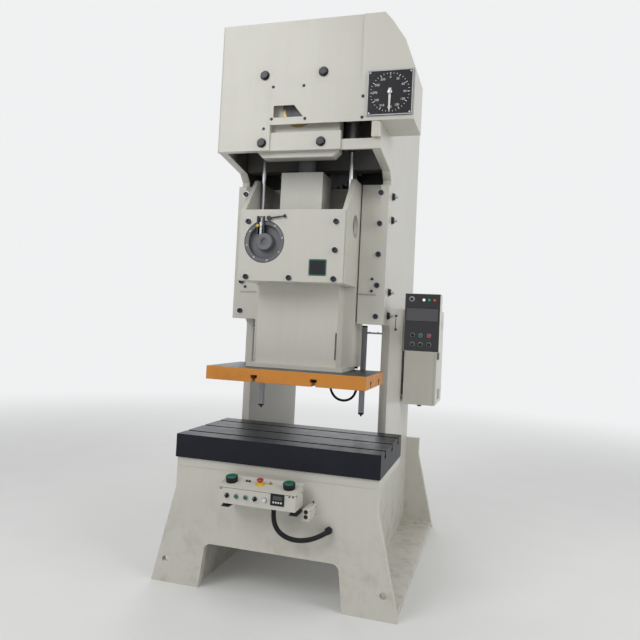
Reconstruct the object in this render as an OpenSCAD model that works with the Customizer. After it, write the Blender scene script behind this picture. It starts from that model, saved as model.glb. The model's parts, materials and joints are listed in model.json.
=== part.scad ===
// Open-front, single-crank mechanical stamping press, built as separate pieces.
// Millimetres. +Z is up, the operator stands at -Y, and the origin lies on the
// floor in the middle of the four anchor holes. The slide is modelled at bottom
// dead centre, with the crank pin straight down and the dial pointer at 180.

/* [Frame] */
// Width over the two side plates
frame_w = 1156; // [1120:2:1200]
// Thickness of a side plate
side_t = 60; // [50:1:70]
// Height of the crown's top above the floor
crown_z = 3842; // [3800:2:3900]
// Thickness of the plates that close the frame
plate_t = 50; // [40:1:60]
// Thickness of the crown's top plate
top_t = 30; // [20:1:40]
// Distance from the origin back to the frame's rear edge
frame_back = 950; // [900:5:1000]
// Distance from the origin forward to the base's front face
base_front = 1050; // [1040:1:1060]
// Height of the crown's lower front edge
crown_under = 2952; // [2930:1:2980]
// Drop of the crown's lower edge from its front to the knee
crown_drop = 54; // [30:1:60]
// Size of the knee's chamfer, between the crown and the slideway
knee = 56; // [40:1:70]
// Radius at the top of the throat
throat_r = 55; // [30:1:80]
// Radius at the crown's rear top corner
rear_r = 120; // [60:5:200]
// Radius of the lifting holes through the side plates
lift_r = 40; // [30:1:50]
// Lifting holes: distance below the crown's top
lift_down = 150; // [120:5:200]
// Distance of the front lifting holes behind the crown's front
lift_front = 450; // [430:5:480]
// Distance of the rear lifting holes in from the frame's rear edge
lift_rear = 260; // [220:5:300]

/* [Slideway] */
// Distance of the slide's centre line in front of the origin
die_in = 655; // [645:1:665]
// Distance of the crown's front face in front of the slide's centre line
crown_fore = 290; // [286:1:296]
// Distance from the slide's centre line back to the gib seats
gib_back = 190; // [180:1:200]
// Distance from the slide's centre line back to the throat's rear edge
throat_back = 420; // [410:1:450]
// Height of the gibs' lower end
gib_z = 1800; // [1780:1:1820]
// Length of the gibs
gib_h = 1000; // [960:5:1020]
// Thickness of the gib's front flange
gib_t = 60; // [50:1:70]
// Depth of the gib's guide block behind its seat
gib_deep = 135; // [125:1:140]
// Visible groove between the slide and the gib's front flange
gib_groove = 9; // [6:1:12]
// Depth of that groove
gib_groove_d = 30; // [20:1:40]
// Running clearance between the slide and each gib
run_gap = 0.3; // [0.2:0.05:0.5]
// Depth of the slide's guide ribs, out from its sides
rib_out = 25; // [15:1:30]
// Width of the guide ribs, front to back
rib_w = 56; // [40:2:60]
// Distance of the ribs' front behind the gib seats
rib_back = 18; // [12:1:22]

/* [Bed] */
// Height of the bolster's top above the floor
bolster_z = 1000; // [980:5:1020]
// How far the bolster overhangs the base on each side
bolster_over = 8; // [0:1:20]
// Depth of the bolster, front to back
bolster_d = 820; // [800:5:830]
// Thickness of the bolster
bolster_t = 155; // [140:5:170]
// Distance between the bolster's T-slots
bolster_pitch = 260; // [240:5:280]
// Width of a T-slot's neck
slot_w = 28; // [22:1:32]
// Width of a T-slot's head
slot_head = 46; // [40:1:52]
// Height of a T-slot's head
slot_head_h = 20; // [16:1:24]
// Depth of a T-slot
slot_deep = 48; // [40:1:54]
// Thickness of the bed plate under the bolster
bed_t = 60; // [50:1:70]
// Width of the base above its flared feet
base_w = 1384; // [1360:2:1400]
// Width of the base at the floor
base_foot_w = 1682; // [1640:2:1700]
// Height at which the feet begin to flare
flare_z = 640; // [600:5:680]
// Width of the base's arch at the floor
arch_w = 984; // [940:2:1000]
// Width of the arch just below its rounded corners
arch_top_w = 924; // [900:2:936]
// Height of the arch
arch_h = 295; // [270:5:320]
// Radius of the arch's corners
arch_r = 46; // [30:1:60]
// Radius of the holes in the base's front feet
front_hole_r = 22; // [16:1:26]
// Distance of those holes in from the base's outer corners at the floor
front_hole_in = 96; // [86:1:106]
// Height of those holes
front_hole_z = 150; // [120:5:180]
// Thickness of the foot plates
foot_t = 45; // [35:1:55]
// Anchor holes: distance across the base
anchor_x = 1400; // [1370:5:1440]
// Anchor holes: distance along the base
anchor_y = 1700; // [1600:10:1760]
// Radius of an anchor hole
anchor_r = 18; // [14:1:22]

/* [Slide] */
// Width of the slide between the gibs
slide_w = 750; // [730:2:760]
// Distance from the slide's centre line to its front cover's face
slide_front = 289; // [280:1:300]
// Distance from the slide's centre line back to its rear face
slide_back = 289; // [270:1:290]
// Height of the slide's upper box above the floor
box_z = 2060; // [2040:5:2080]
// Height of the front cover
box_h = 486; // [470:2:500]
// Width of the front cover
box_w = 740; // [720:2:750]
// Thickness of the front cover
cover_t = 20; // [14:1:26]
// Thickness of the slide's box walls
slide_wall = 30; // [24:1:36]
// Length of the slope at the top of the box's side walls, front to back
slope_d = 214; // [180:2:230]
// Width of the slide's neck
neck_w = 304; // [296:2:320]
// Depth of the neck
neck_d = 220; // [210:2:228]
// Wall of the neck
neck_wall = 25; // [20:1:26]
// Height of the neck's top
neck_z = 2840; // [2810:5:2850]
// Width of the slide's lower body
body_w = 590; // [560:5:620]
// Distance from the slide's centre line to the lower body's front
body_front = 65; // [50:1:90]
// Distance from the slide's centre line to the front of the guide flanges
wing_front = -90; // [-110:1:-70]
// Width of the slide's bottom flange
flange_w = 704; // [680:2:720]
// Thickness of the bottom flange
flange_t = 27; // [20:1:34]
// How far the flange stands out in front of the lower body
flange_out = 38; // [30:1:46]
// Width of the slide plate
ram_w = 1124; // [1100:2:1150]
// Depth of the slide plate
ram_d = 600; // [580:5:610]
// Thickness of the slide plate
ram_t = 91; // [80:1:100]
// Height of the slide plate's underside at bottom dead centre
ram_z = 1372; // [1350:1:1390]
// Distance of the lengthwise T-slots from the middle
ram_slot_x = 210; // [190:5:240]
// Distance of the crosswise T-slots from the slide's centre line
ram_slot_y = 140; // [120:5:180]
// Radius of the round window in the slide's side walls
side_hole_r = 82; // [70:1:90]
// Height of that window
side_hole_z = 2475; // [2455:5:2485]
// Working stroke of the slide
stroke = 100; // [80:2:100]

/* [Adjuster] */
// Radius of the round opening in the slide's front cover
disc_r = 145; // [130:1:150]
// Distance of that opening left of the middle
disc_x = 190; // [180:1:200]
// Height of the opening's centre above the cover's lower edge
disc_up = 266; // [256:1:276]
// Clearance round the adjuster's case
disc_gap = 2; // [1:0.5:3]
// Width of the notch above the opening
notch_w = 60; // [50:1:70]
// Height of the notch's top above the opening's centre
notch_h = 175; // [165:1:180]
// Length of the locking lever
lever_l = 113; // [100:1:125]
// Distance of the lever's pivot to the right of the opening's centre
lever_in = 32; // [26:1:40]
// Height of the lever's pivot above the opening's centre
lever_up = 158; // [156:1:170]
// Radius of the lever's pivot pin
lever_pin_r = 9; // [7:0.5:11]
// Radius of the lever's ball
lever_ball_r = 11; // [9:0.5:13]

/* [Drive] */
// Height of the crankshaft above the floor
crank_z = 3240; // [3230:1:3260]
// Radius of the crankshaft's journals
shaft_r = 100; // [90:1:104]
// Radius of the eccentric
ecc_r = 160; // [156:1:166]
// Length of the eccentric along the shaft
ecc_l = 130; // [124:1:140]
// Wall of the bushes
bush_t = 20; // [14:1:24]
// Radial running clearance of the shafts
fit_gap = 0.05; // [0.02:0.01:0.08]
// Wall of the connecting rod's big end
rod_wall = 55; // [45:1:60]
// Width of the rod along the shaft
rod_l = 120; // [110:1:122]
// Radius of the rod's shank
rod_r = 62; // [50:1:64]
// Height of the rod's lower end
rod_end_z = 2290; // [2270:5:2320]
// Thickness of the front bearing block, along the shaft
block_t = 100; // [90:1:110]
// Thickness of the rear bearing block, along the shaft
rear_block_t = 120; // [110:1:130]
// Distance of the rear block's face in front of the slide's rear face
rear_block_in = 34; // [30:1:40]
// Half width of the front bearing block
block_hw = 290; // [280:2:300]
// How far the bearing blocks reach below the crown's front edge
block_down = 40; // [30:1:46]
// Height of the front bearing block above the crankshaft
block_up = 280; // [260:5:300]
// Tooth module of the gears
gear_m = 14; // [13.5:0.1:14]
// Number of teeth of the main gear
gear_n = 64; // [64:8:64]
// Number of teeth of the pinion
pinion_n = 16; // [16:8:16]
// Width of the main gear
gear_t = 120; // [100:2:130]
// Space between the gear and the wall behind it
gear_gap = 60; // [50:1:70]
// Space between the gear and the bearing block in front of it
gear_front_gap = 70; // [60:1:80]
// Radius of the pinion shaft
pinion_r = 50; // [44:1:56]
// Radius of the flywheel
fly_r = 430; // [400:5:440]
// Width of the flywheel's rim
fly_t = 140; // [130:2:150]
// Thickness of the flywheel's rim
fly_rim = 70; // [60:1:80]
// Thickness of the flywheel's web
fly_web = 46; // [40:1:50]
// Space between the frame's rear wall and the flywheel
fly_gap = 60; // [50:1:70]
// Radius of the clutch drum
clutch_r = 190; // [170:2:210]
// Length of the clutch drum
clutch_l = 68; // [60:1:76]
// Radius of the motor's pulley
pulley_r = 108; // [100:2:116]
// Height of the motor's axis above the crown
motor_up = 235; // [225:1:250]
// Radius of the motor's body
motor_r = 180; // [160:2:190]
// Length of the motor's body
motor_l = 480; // [440:5:500]
// Length of the motor's fan cover
fan_l = 70; // [60:1:80]
// Width over the motor's feet
motor_foot_w = 300; // [280:5:320]
// Length of each foot of the motor
motor_foot_l = 100; // [80:2:110]
// Distance between the motor's feet, centre to centre
motor_foot_pitch = 260; // [240:5:280]
// Width of the plate under the motor
motor_base_w = 480; // [440:5:500]
// Thickness of that plate
motor_base_t = 28; // [20:1:34]
// Length of the motor's terminal box
term_l = 200; // [180:5:220]
// Height of the terminal box
term_h = 140; // [120:5:150]
// How far the terminal box stands out from the motor
term_out = 80; // [70:1:90]
// Number of belts
belt_n = 4; // [3:1:5]
// Distance between the belts
belt_pitch = 26; // [24:1:28]
// Thickness of a belt
belt_t = 14; // [10:1:16]
// Thickness of the sheet-metal guard
sheet_t = 4; // [3:0.5:6]
// Space between the belts and the guard
guard_room = 45; // [40:1:50]
// Width of the guard's air slots
guard_slot_w = 320; // [280:5:340]
// Distance between the air slots
guard_slot_pitch = 50; // [44:1:56]
// Radius of the air tank
tank_r = 140; // [130:1:150]
// Length of the air tank
tank_l = 760; // [720:5:800]
// Distance of the air tank behind the origin
tank_y = 60; // [40:1:80]
// Space between the air tank and the crown
tank_up = 26; // [20:1:34]

/* [Crown front] */
// Left end of the front cover, from the middle
cover_left = 195; // [185:1:205]
// Width of the dial housing beside the frame
housing_w = 213; // [205:1:220]
// Height of the front cover's lower edge
cover_z = 3126; // [3110:1:3140]
// Height of the front cover's low part
cover_h = 279; // [260:1:300]
// Width of the cover's tall part in front of the frame
cover_tall_w = 138; // [120:1:160]
// Width of the sight window's lower edge
sight_w = 213; // [200:1:220]
// Width of the sight window's upper edge
sight_top_w = 145; // [130:1:160]
// Height of the sight window
sight_h = 82; // [70:1:90]
// Height of the dial housing's straight right edge
slope_h = 328; // [310:1:340]
// Second corner of its slanted edge: distance in, and height above the lower edge
slope_mid_in = 73; // [60:1:90]
slope_mid_h = 524; // [500:1:540]
// Third corner of its slanted edge: distance in, and height above the lower edge
slope_high_in = 163; // [150:1:180]
slope_high_h = 657; // [640:1:675]
// Depth of the dial housing behind the crown's front
housing_d = 360; // [330:5:380]
// Side of the square dial
dial_w = 298; // [280:2:306]
// Distance of the dial's centre out from the frame's side
dial_out = 52.5; // [46:0.5:60]
// Height of the dial's centre
dial_z = 3303; // [3290:1:3315]
// Thickness of the dial
dial_t = 8; // [6:1:12]
// Length of the dial's pointer
pointer_l = 130; // [110:2:140]
// Radius of the pointer's shaft
pointer_r = 8; // [6:0.5:10]
// Width across the flats of the crown's hexagon bolts
hex_af = 50; // [46:1:55]
// Height of a hexagon bolt's head
hex_h = 22; // [18:1:26]
// Radius of the gibs' cap screws
cap_r = 19; // [16:1:21]
// Height of the cap screws' heads
cap_h = 14; // [10:1:20]

/* [Balancers] */
// Distance of each counterbalance from the middle
bal_x = 325; // [322:1:327]
// Radius of a counterbalance cylinder
bal_r = 52; // [48:1:54]
// Wall of a counterbalance cylinder
bal_wall = 7; // [5:1:9]
// Length of a counterbalance cylinder
bal_l = 420; // [400:5:440]
// Height of the cylinders' lower end
bal_z = 3010; // [2990:5:3030]
// Radius of a counterbalance rod
bal_rod_r = 15; // [12:0.5:16]

/* [Controls] */
// Length of the two-hand control box
desk_w = 507; // [490:1:520]
// Depth of the control box
desk_d = 155; // [145:1:165]
// Height of the control box at its front
desk_h = 103; // [95:1:110]
// Rise of the control box's lid from front to back
desk_rise = 36; // [28:1:42]
// Height of the control box's underside
desk_z = 643; // [630:1:650]
// Distance of the control box's middle left of the press's middle
desk_x = 28; // [20:1:36]
// Space between the control box and the base
desk_gap = 60; // [50:1:70]
// Distance between the two palm buttons
palm_pitch = 384; // [370:2:400]
// Distance of the palm buttons' middle left of the control box's middle
palm_shift = 6; // [0:1:10]
// Radius of a palm button
palm_r = 33; // [30:1:36]
// Width of the guard ring round a palm button
palm_ring = 5; // [4:0.5:7]
// Height of the guard ring round a palm button
palm_ring_h = 33; // [31:1:36]
// Travel of a palm button
palm_travel = 7; // [5:0.5:8]
// Radius of the stop button
stop_r = 22; // [19:1:24]
// Travel of the stop button
stop_travel = 5; // [3:0.5:6]
// Distance between the small buttons
button_pitch = 62; // [58:1:66]
// Radius of a small button
button_r = 12; // [10:0.5:14]
// Travel of a small button
button_travel = 4; // [3:0.5:5]
// Radius of a button's stem
stem_r = 7; // [5:0.5:8]
// Clearance round a button's stem
stem_gap = 0.1; // [0.05:0.05:0.3]
// Width of the operator panel's box
panel_w = 242; // [230:2:250]
// Height of the operator panel's box
panel_h = 397; // [380:1:410]
// Depth of the operator panel's box
panel_d = 140; // [120:2:150]
// Distance of the panel's left side from the frame
panel_off = 153; // [140:1:165]
// Height of the panel's underside
panel_z = 1631; // [1610:1:1650]
// Distance of the panel's front in front of the gibs
panel_fore = 40; // [20:1:60]
// Width of the cabinet, away from the frame
cab_w = 250; // [230:2:270]
// Length of the cabinet, front to back
cab_l = 520; // [500:5:530]
// Height of the cabinet
cab_h = 800; // [760:5:840]
// Height of the cabinet's underside
cab_z = 1150; // [1120:5:1180]
// Space between the cabinet and the side plate
cab_gap = 22; // [16:1:30]
// Thickness of the cabinet's door
door_t = 18; // [14:1:24]
// Width of the light curtain's bars
bar_w = 36; // [30:1:42]
// Height of the bars' lower end
bar_z = 1130; // [1110:5:1150]
// Radius of the control box's hose
hose_r = 15; // [12:0.5:18]
// Radius of the slide plate's hose
thin_hose_r = 9; // [7:0.5:10]

/* [Hidden] */
$fn = 64;

paint = [0.80, 0.79, 0.74];
dark_steel = [0.18, 0.19, 0.22];
steel = [0.62, 0.63, 0.65];
black = [0.06, 0.06, 0.07];
orange = [0.80, 0.50, 0.14];
green = [0.07, 0.36, 0.29];
red = [0.65, 0.12, 0.12];

// A hair of overlap that keeps the cuts clean
eps = 0.01;

half_w = frame_w / 2;
bolster_w = base_w + 2 * bolster_over;
front_hole_x = base_foot_w / 2 - front_hole_in;
cover_right = half_w + housing_w;
cover_step = half_w - cover_tall_w;
dial_x = half_w + dial_out;
inner_w = half_w - side_t;
die_y = -die_in;
crown_front_y = die_y - crown_fore;
base_front_y = -base_front;
gib_seat_y = die_y + gib_back;
gib_front_y = gib_seat_y - gib_t;
throat_y = die_y + throat_back;
bed_top = bolster_z - bolster_t;
bolster_y = die_y - bolster_d / 2;
top_under = crown_z - top_t;
knee_z = crown_under - crown_drop;
gib_top = gib_z + gib_h;
slide_y = die_y - slide_front;
box_top = box_z + box_h;
ecc = stroke / 2;
block_z = crown_under - block_down;
block_y = crown_front_y + plate_t;
slide_rear = die_y + slide_back;
rear_block_y = slide_rear - rear_block_in - rear_block_t;
gear_y = rear_block_y + rear_block_t + gear_front_gap;
gear_wall_y = gear_y + gear_t + gear_gap;
gear_wall_t = 60;
gear_wall_z = 2300;
rear_t = 60;
rear_wall_z = 1900;
pinion_z = crank_z - gear_m * (gear_n + pinion_n) / 2;
fly_y = frame_back + fly_gap;
motor_z = crown_z + motor_up;
motor_back = frame_back - 60;
desk_y = base_front_y - desk_gap - desk_d;
desk_top = desk_z + desk_h;
panel_y = gib_front_y - panel_fore;
panel_x = half_w + panel_off;
cab_x = half_w + cab_gap;
cab_back = frame_back - 10;
cab_y = cab_back - cab_l;
rib_y = gib_seat_y + rib_back;
ram_y = die_y - ram_d / 2;
ram_top = ram_z + ram_t;
flange_top = ram_top + flange_t;
cover_y = crown_front_y - 6;

// A plate in the X-Z plane: y0 is its front face, t its thickness
module slab_xz(y0, t) translate([0, y0 + t, 0]) rotate([90, 0, 0]) linear_extrude(t) children();

// A plate in the Y-Z plane: x0 is its left face, t its thickness
module slab_yz(x0, t) translate([x0, 0, 0]) rotate([90, 0, 90]) linear_extrude(t) children();

// Round bars along X and Y, starting at the given point
module bar_x(p, r, l) translate(p) rotate([0, 90, 0]) cylinder(r = r, h = l);
module bar_y(p, r, l) translate(p) rotate([-90, 0, 0]) cylinder(r = r, h = l);

// A box from its low corner to its high corner
module block(a, b) translate(a) cube(b - a);

// A hexagon head on a face that looks to -Y
module hex_head_y(p, af, h)
    translate(p) rotate([90, 0, 0]) cylinder(d = af / cos(30), h = h, $fn = 6);

// The frame's side profile, in Y and Z
module side_profile() {
    difference() {
        union() {
            polygon([[base_front_y + plate_t, foot_t], [frame_back, foot_t], [frame_back, top_under],
                [crown_front_y + plate_t, top_under], [crown_front_y + plate_t, crown_under],
                [gib_seat_y - knee, knee_z], [gib_seat_y, knee_z - knee], [gib_seat_y, gib_z],
                [throat_y, gib_z], [throat_y, bed_top - bed_t], [base_front_y + plate_t, bed_top - bed_t]]);
            difference() {
                translate([throat_y - throat_r, gib_z - throat_r]) square(throat_r + eps);
                translate([throat_y - throat_r, gib_z - throat_r]) circle(throat_r);
            }
        }
        difference() {
            translate([frame_back - rear_r, top_under - rear_r]) square(rear_r + 1);
            translate([frame_back - rear_r, top_under - rear_r]) circle(rear_r);
        }
        translate([crown_front_y + lift_front, crown_z - lift_down]) circle(lift_r);
        translate([frame_back - lift_rear, crown_z - lift_down]) circle(lift_r);
    }
}

module left_side_plate() color(paint) slab_yz(-half_w, side_t) side_profile();
module right_side_plate() color(paint) slab_yz(inner_w, side_t) side_profile();

// Crown front: rounded upright edges, an opening for the crank and a set-back lower bar
edge_r = 20;
bar_right = 309;
bar_top = 3077;
window_right_z = 3022;
window_top = cover_z + cover_h - 25;
bar_recess = 12;
strip_recess = 30;
module crown_front_plate() color(paint) difference() {
    translate([0, crown_front_y, crown_under]) linear_extrude(crown_z - crown_under) {
        translate([-half_w + edge_r, 0]) square([frame_w - 2 * edge_r, plate_t]);
        translate([-half_w, edge_r]) square([frame_w, plate_t - edge_r]);
        for (s = [-1, 1]) translate([s * (half_w - edge_r), edge_r]) circle(edge_r);
    }
    block([-cover_left + 5, crown_front_y - 1, bar_top], [inner_w, block_y + 1, window_top]);
    block([bar_right, crown_front_y - 1, window_right_z], [inner_w, block_y + 1, bar_top + 1]);
    block([-cover_left + 5, crown_front_y - 1, crown_under - 1],
        [bar_right, crown_front_y + bar_recess, bar_top + 1]);
    block([bar_right, crown_front_y - 1, crown_under - 1],
        [half_w + 1, crown_front_y + strip_recess, window_right_z + 1]);
}

// The front block hangs behind the crown's front plate; the rear one joins the side plates
module bearing_blocks() color(paint) {
    difference() {
        slab_xz(block_y, block_t) polygon([[-block_hw, block_z + block_down], [-block_hw + block_down, block_z],
            [block_hw - block_down, block_z], [block_hw, block_z + block_down],
            [block_hw, crank_z + block_up], [-block_hw, crank_z + block_up]]);
        bar_y([0, block_y - 1, crank_z], shaft_r + fit_gap + bush_t, block_t + 2);
    }
    difference() {
        block([-inner_w, rear_block_y, block_z], [inner_w, rear_block_y + rear_block_t, top_under]);
        bar_y([0, rear_block_y - 1, crank_z], shaft_r + fit_gap + bush_t, rear_block_t + 2);
    }
}

module gear_wall() color(paint) difference() {
    block([-inner_w, gear_wall_y, gear_wall_z], [inner_w, gear_wall_y + gear_wall_t, top_under]);
    bar_y([0, gear_wall_y - 1, crank_z], shaft_r + fit_gap + bush_t, gear_wall_t + 2);
    bar_y([0, gear_wall_y - 1, pinion_z], pinion_r + fit_gap + bush_t, gear_wall_t + 2);
}

module crown_top_plate() color(paint)
    block([-half_w, block_y, top_under], [half_w, frame_back - rear_r, crown_z]);

module rear_wall() color(paint) difference() {
    block([-inner_w, frame_back - rear_t, rear_wall_z], [inner_w, frame_back, top_under - rear_r]);
    bar_y([0, frame_back - rear_t - 1, pinion_z], pinion_r + fit_gap + bush_t, rear_t + 2);
}

module bed_plate() color(paint)
    block([-base_w / 2, base_front_y, bed_top - bed_t], [base_w / 2, throat_y, bed_top]);

// The base's outline with its flared feet, in X and Z
module base_outline(top)
    polygon([[-base_foot_w / 2, 0], [base_foot_w / 2, 0], [base_w / 2, flare_z], [base_w / 2, top],
        [-base_w / 2, top], [-base_w / 2, flare_z]]);

// The arch between the front feet, with round upper corners
module arch_outline() {
    mid = arch_top_w / 2;
    low = arch_w / 2;
    polygon([[-low, -1], [low, -1], [mid, arch_h - arch_r], [-mid, arch_h - arch_r]]);
    translate([-mid + arch_r, arch_h - arch_r - eps]) square([2 * (mid - arch_r), arch_r + eps]);
    for (s = [-1, 1]) translate([s * (mid - arch_r), arch_h - arch_r]) circle(arch_r);
}

module base_front_plate() color(paint) difference() {
    slab_xz(base_front_y, plate_t) difference() {
        base_outline(bed_top - bed_t);
        arch_outline();
    }
    for (s = [-1, 1]) bar_y([s * front_hole_x, base_front_y - 1, front_hole_z], front_hole_r, plate_t + 2);
}

module base_rear_plate() color(paint)
    slab_xz(frame_back, plate_t) difference() {
        base_outline(bed_top - bed_t);
        arch_outline();
    }

module foot_plates() color(paint) for (s = [-1, 1]) difference() {
    block([s > 0 ? inner_w : -base_foot_w / 2 + 12, base_front_y + plate_t, 0],
        [s > 0 ? base_foot_w / 2 - 12 : -inner_w, frame_back, foot_t]);
    for (y = [-1, 1]) translate([s * anchor_x / 2, y * anchor_y / 2, -1])
        cylinder(r = anchor_r, h = foot_t + 2);
}

// The cut of one T-slot in a face that looks up; it runs along X
module slot_x(l) {
    block([-l / 2, -slot_w / 2, -slot_deep], [l / 2, slot_w / 2, 1]);
    block([-l / 2, -slot_head / 2, -slot_deep], [l / 2, slot_head / 2, -slot_deep + slot_head_h]);
}

module bolster() color(dark_steel) difference() {
    block([-bolster_w / 2, bolster_y, bed_top], [bolster_w / 2, bolster_y + bolster_d, bolster_z]);
    for (k = [-1 : 1]) translate([0, die_y + k * bolster_pitch, bolster_z]) slot_x(bolster_w + 2);
}

// A gib's cross-section on the right-hand side, in X and Y
module gib_section() {
    guide = slide_w / 2 + run_gap;
    polygon([[guide + gib_groove, gib_front_y], [half_w, gib_front_y], [half_w, gib_seat_y],
        [inner_w, gib_seat_y], [inner_w, gib_seat_y + gib_deep], [guide, gib_seat_y + gib_deep],
        [guide, rib_y + rib_w + run_gap], [guide + rib_out, rib_y + rib_w + run_gap],
        [guide + rib_out, rib_y - run_gap], [guide, rib_y - run_gap],
        [guide, gib_front_y + gib_groove_d], [guide + gib_groove, gib_front_y + gib_groove_d]]);
}

module gibs() color(paint) for (s = [0, 1]) mirror([s, 0, 0])
    translate([0, 0, gib_z]) linear_extrude(gib_h) gib_section();

gib_screw_x = half_w - side_t + 1;
gib_screw_n = 5;
gib_screw_end = 58;
function gib_screw_z(k) = gib_z + gib_screw_end + k * (gib_h - 2 * gib_screw_end) / (gib_screw_n - 1);
adjust_up = [69, 240, 768, 942];
adjust_in = 40;
adjust_af = 46;
adjust_nut_h = 20;
adjust_r = 12;
adjust_l = 42;
crown_bolt_x = [-245, 174];
crown_bolt_low = 3005;
crown_bolt_high = 3474;
module frame_bolts() color(dark_steel) {
    for (x = crown_bolt_x) {
        hex_head_y([x, crown_front_y, crown_bolt_high], hex_af, hex_h);
        hex_head_y([x, crown_front_y + (x > 0 ? bar_recess : 0), crown_bolt_low], hex_af, hex_h);
    }
    for (s = [-1, 1], k = [0 : gib_screw_n - 1])
        bar_y([s * gib_screw_x, gib_front_y - cap_h, gib_screw_z(k)], cap_r, cap_h);
    for (s = [0, 1], up = adjust_up) mirror([s, 0, 0])
        translate([half_w, gib_seat_y + gib_deep - adjust_in, gib_z + up]) rotate([0, 90, 0]) {
            cylinder(d = adjust_af / cos(30), h = adjust_nut_h, $fn = 6);
            cylinder(r = adjust_r, h = adjust_l);
        }
}

// The front cover's outline in X and Z, with the dial housing's slanted corner
function housing_slope(t) = [for (p = [[cover_right, cover_z + slope_h],
    [cover_right - slope_mid_in, cover_z + slope_mid_h], [cover_right - slope_high_in, cover_z + slope_high_h],
    [half_w, crown_z]]) p - [t, t]];
sight_in = 27;
sight_up = 49;
module front_cover() color(paint) {
    difference() {
        slab_xz(cover_y, crown_front_y - cover_y)
            polygon(concat([[-cover_left, cover_z], [cover_right, cover_z]], housing_slope(0),
                [[cover_step, crown_z], [cover_step, cover_z + cover_h], [-cover_left, cover_z + cover_h]]));
        slab_xz(cover_y - 1, crown_front_y - cover_y + 2)
            translate([-cover_left + sight_in, cover_z + sight_up])
                polygon([[0, 0], [sight_w, 0], [sight_top_w, sight_h], [0, sight_h]]);
        bar_y([dial_x, cover_y - 1, dial_z], pointer_r + fit_gap, 20);
    }
    difference() {
        slab_xz(crown_front_y, housing_d)
            polygon(concat([[half_w, cover_z], [cover_right, cover_z]], housing_slope(0)));
        slab_xz(crown_front_y - 1, housing_d + 1 - sheet_t)
            polygon(concat([[half_w - 1, cover_z + sheet_t], [cover_right - sheet_t, cover_z + sheet_t]],
                housing_slope(sheet_t)));
    }
}

module dial_face() color(black) difference() {
    block([dial_x - dial_w / 2, cover_y - dial_t, dial_z - dial_w / 2],
        [dial_x + dial_w / 2, cover_y, dial_z + dial_w / 2]);
    bar_y([dial_x, cover_y - dial_t - 1, dial_z], pointer_r + fit_gap, dial_t + 2);
}

pointer_t = 5;
pointer_lift = 1;
module dial_pointer() color("white") {
    y0 = cover_y - dial_t - pointer_lift - pointer_t;
    slab_xz(y0, pointer_t) translate([dial_x, dial_z])
        polygon([[-9, 26], [9, 26], [5, -pointer_l + 20], [0, -pointer_l], [-5, -pointer_l + 20]]);
    bar_y([dial_x, y0, dial_z], pointer_r, crown_front_y - y0 + 60);
}

// Belts run on a level with the flywheel's rim, round two arcs that touch their circles from outside
belt_y = fly_y + fly_t / 2 - (belt_n - 1) * belt_pitch / 2;
belt_gap = 0.5;
function arc(z, r, a, b, n) = let (step = (b - a) / n, ro = r / cos(step / 2))
    [for (k = [0 : n]) [ro * cos(a + k * step), z + ro * sin(a + k * step)]];
module belt_line(out) {
    lean = asin((fly_r - pulley_r) / (motor_z - pinion_z));
    polygon(concat(arc(pinion_z, fly_r + out, -180 - lean, lean, 40),
        arc(motor_z, pulley_r + out, lean, 180 - lean, 24)));
}
module drive_belts() color(black) for (k = [0 : belt_n - 1])
    slab_xz(belt_y + k * belt_pitch - belt_t / 2, belt_t) difference() {
        belt_line(belt_gap + belt_t * 0.8);
        belt_line(belt_gap);
    }

guard_back_gap = 30;
guard_back = fly_y + fly_t + clutch_l + guard_back_gap;
guard_slot_n = 7;
guard_slot_h = 16;
module belt_guard() color(paint) difference() {
    slab_xz(frame_back, guard_back - frame_back) belt_line(guard_room + sheet_t);
    slab_xz(frame_back - 1, guard_back - frame_back + 1 - sheet_t) belt_line(guard_room);
    slot_z = pinion_z - (guard_slot_n - 1) / 2 * guard_slot_pitch;
    for (k = [0 : guard_slot_n - 1])
        translate([-guard_slot_w / 2, guard_back - 2 * sheet_t, slot_z + k * guard_slot_pitch])
            cube([guard_slot_w, 4 * sheet_t, guard_slot_h]);
}

motor_shaft_r = 30;
motor_seat = 90;
motor_mid = motor_back - motor_l / 2;
module motor() color(paint) {
    difference() {
        bar_y([0, motor_back - motor_l, motor_z], motor_r, motor_l);
        bar_y([0, motor_back - motor_seat, motor_z], motor_shaft_r + fit_gap, motor_seat + 1);
    }
    bar_y([0, motor_back - motor_l - fan_l, motor_z], motor_r * 0.9, fan_l + eps);
    for (s = [-1, 1]) translate([0, motor_mid + s * motor_foot_pitch / 2, 0])
        block([-motor_foot_w / 2, -motor_foot_l / 2, motor_base_top],
            [motor_foot_w / 2, motor_foot_l / 2, motor_z - motor_r * 0.7]);
    block([motor_r * 0.8, motor_mid - term_l / 2, motor_z - term_h / 2],
        [motor_r + term_out, motor_mid + term_l / 2, motor_z + term_h / 2]);
}

motor_base_front = 20;
motor_base_top = crown_z + motor_base_t;
module motor_base() color(paint)
    block([-motor_base_w / 2, motor_back - motor_l - motor_base_front, crown_z],
        [motor_base_w / 2, frame_back - rear_r, motor_base_top]);

pulley_y = belt_y - belt_t;
pulley_l = (belt_n - 1) * belt_pitch + 2 * belt_t;
module motor_pulley() color(steel) {
    bar_y([0, pulley_y, motor_z], pulley_r, pulley_l);
    bar_y([0, motor_back - motor_seat + 2, motor_z], motor_shaft_r, pulley_y - motor_back + motor_seat);
}

fly_pocket = (fly_t - fly_web) / 2;
module flywheel() color(steel) difference() {
    bar_y([0, fly_y, pinion_z], fly_r, fly_t);
    bar_y([0, fly_y - 1, pinion_z], fly_r - fly_rim, fly_pocket + 1);
    bar_y([0, fly_y + fly_t - fly_pocket, pinion_z], fly_r - fly_rim, fly_pocket + 1);
    bar_y([0, fly_y - 2, pinion_z], pinion_r + fit_gap, fly_t + 4);
}

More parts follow.
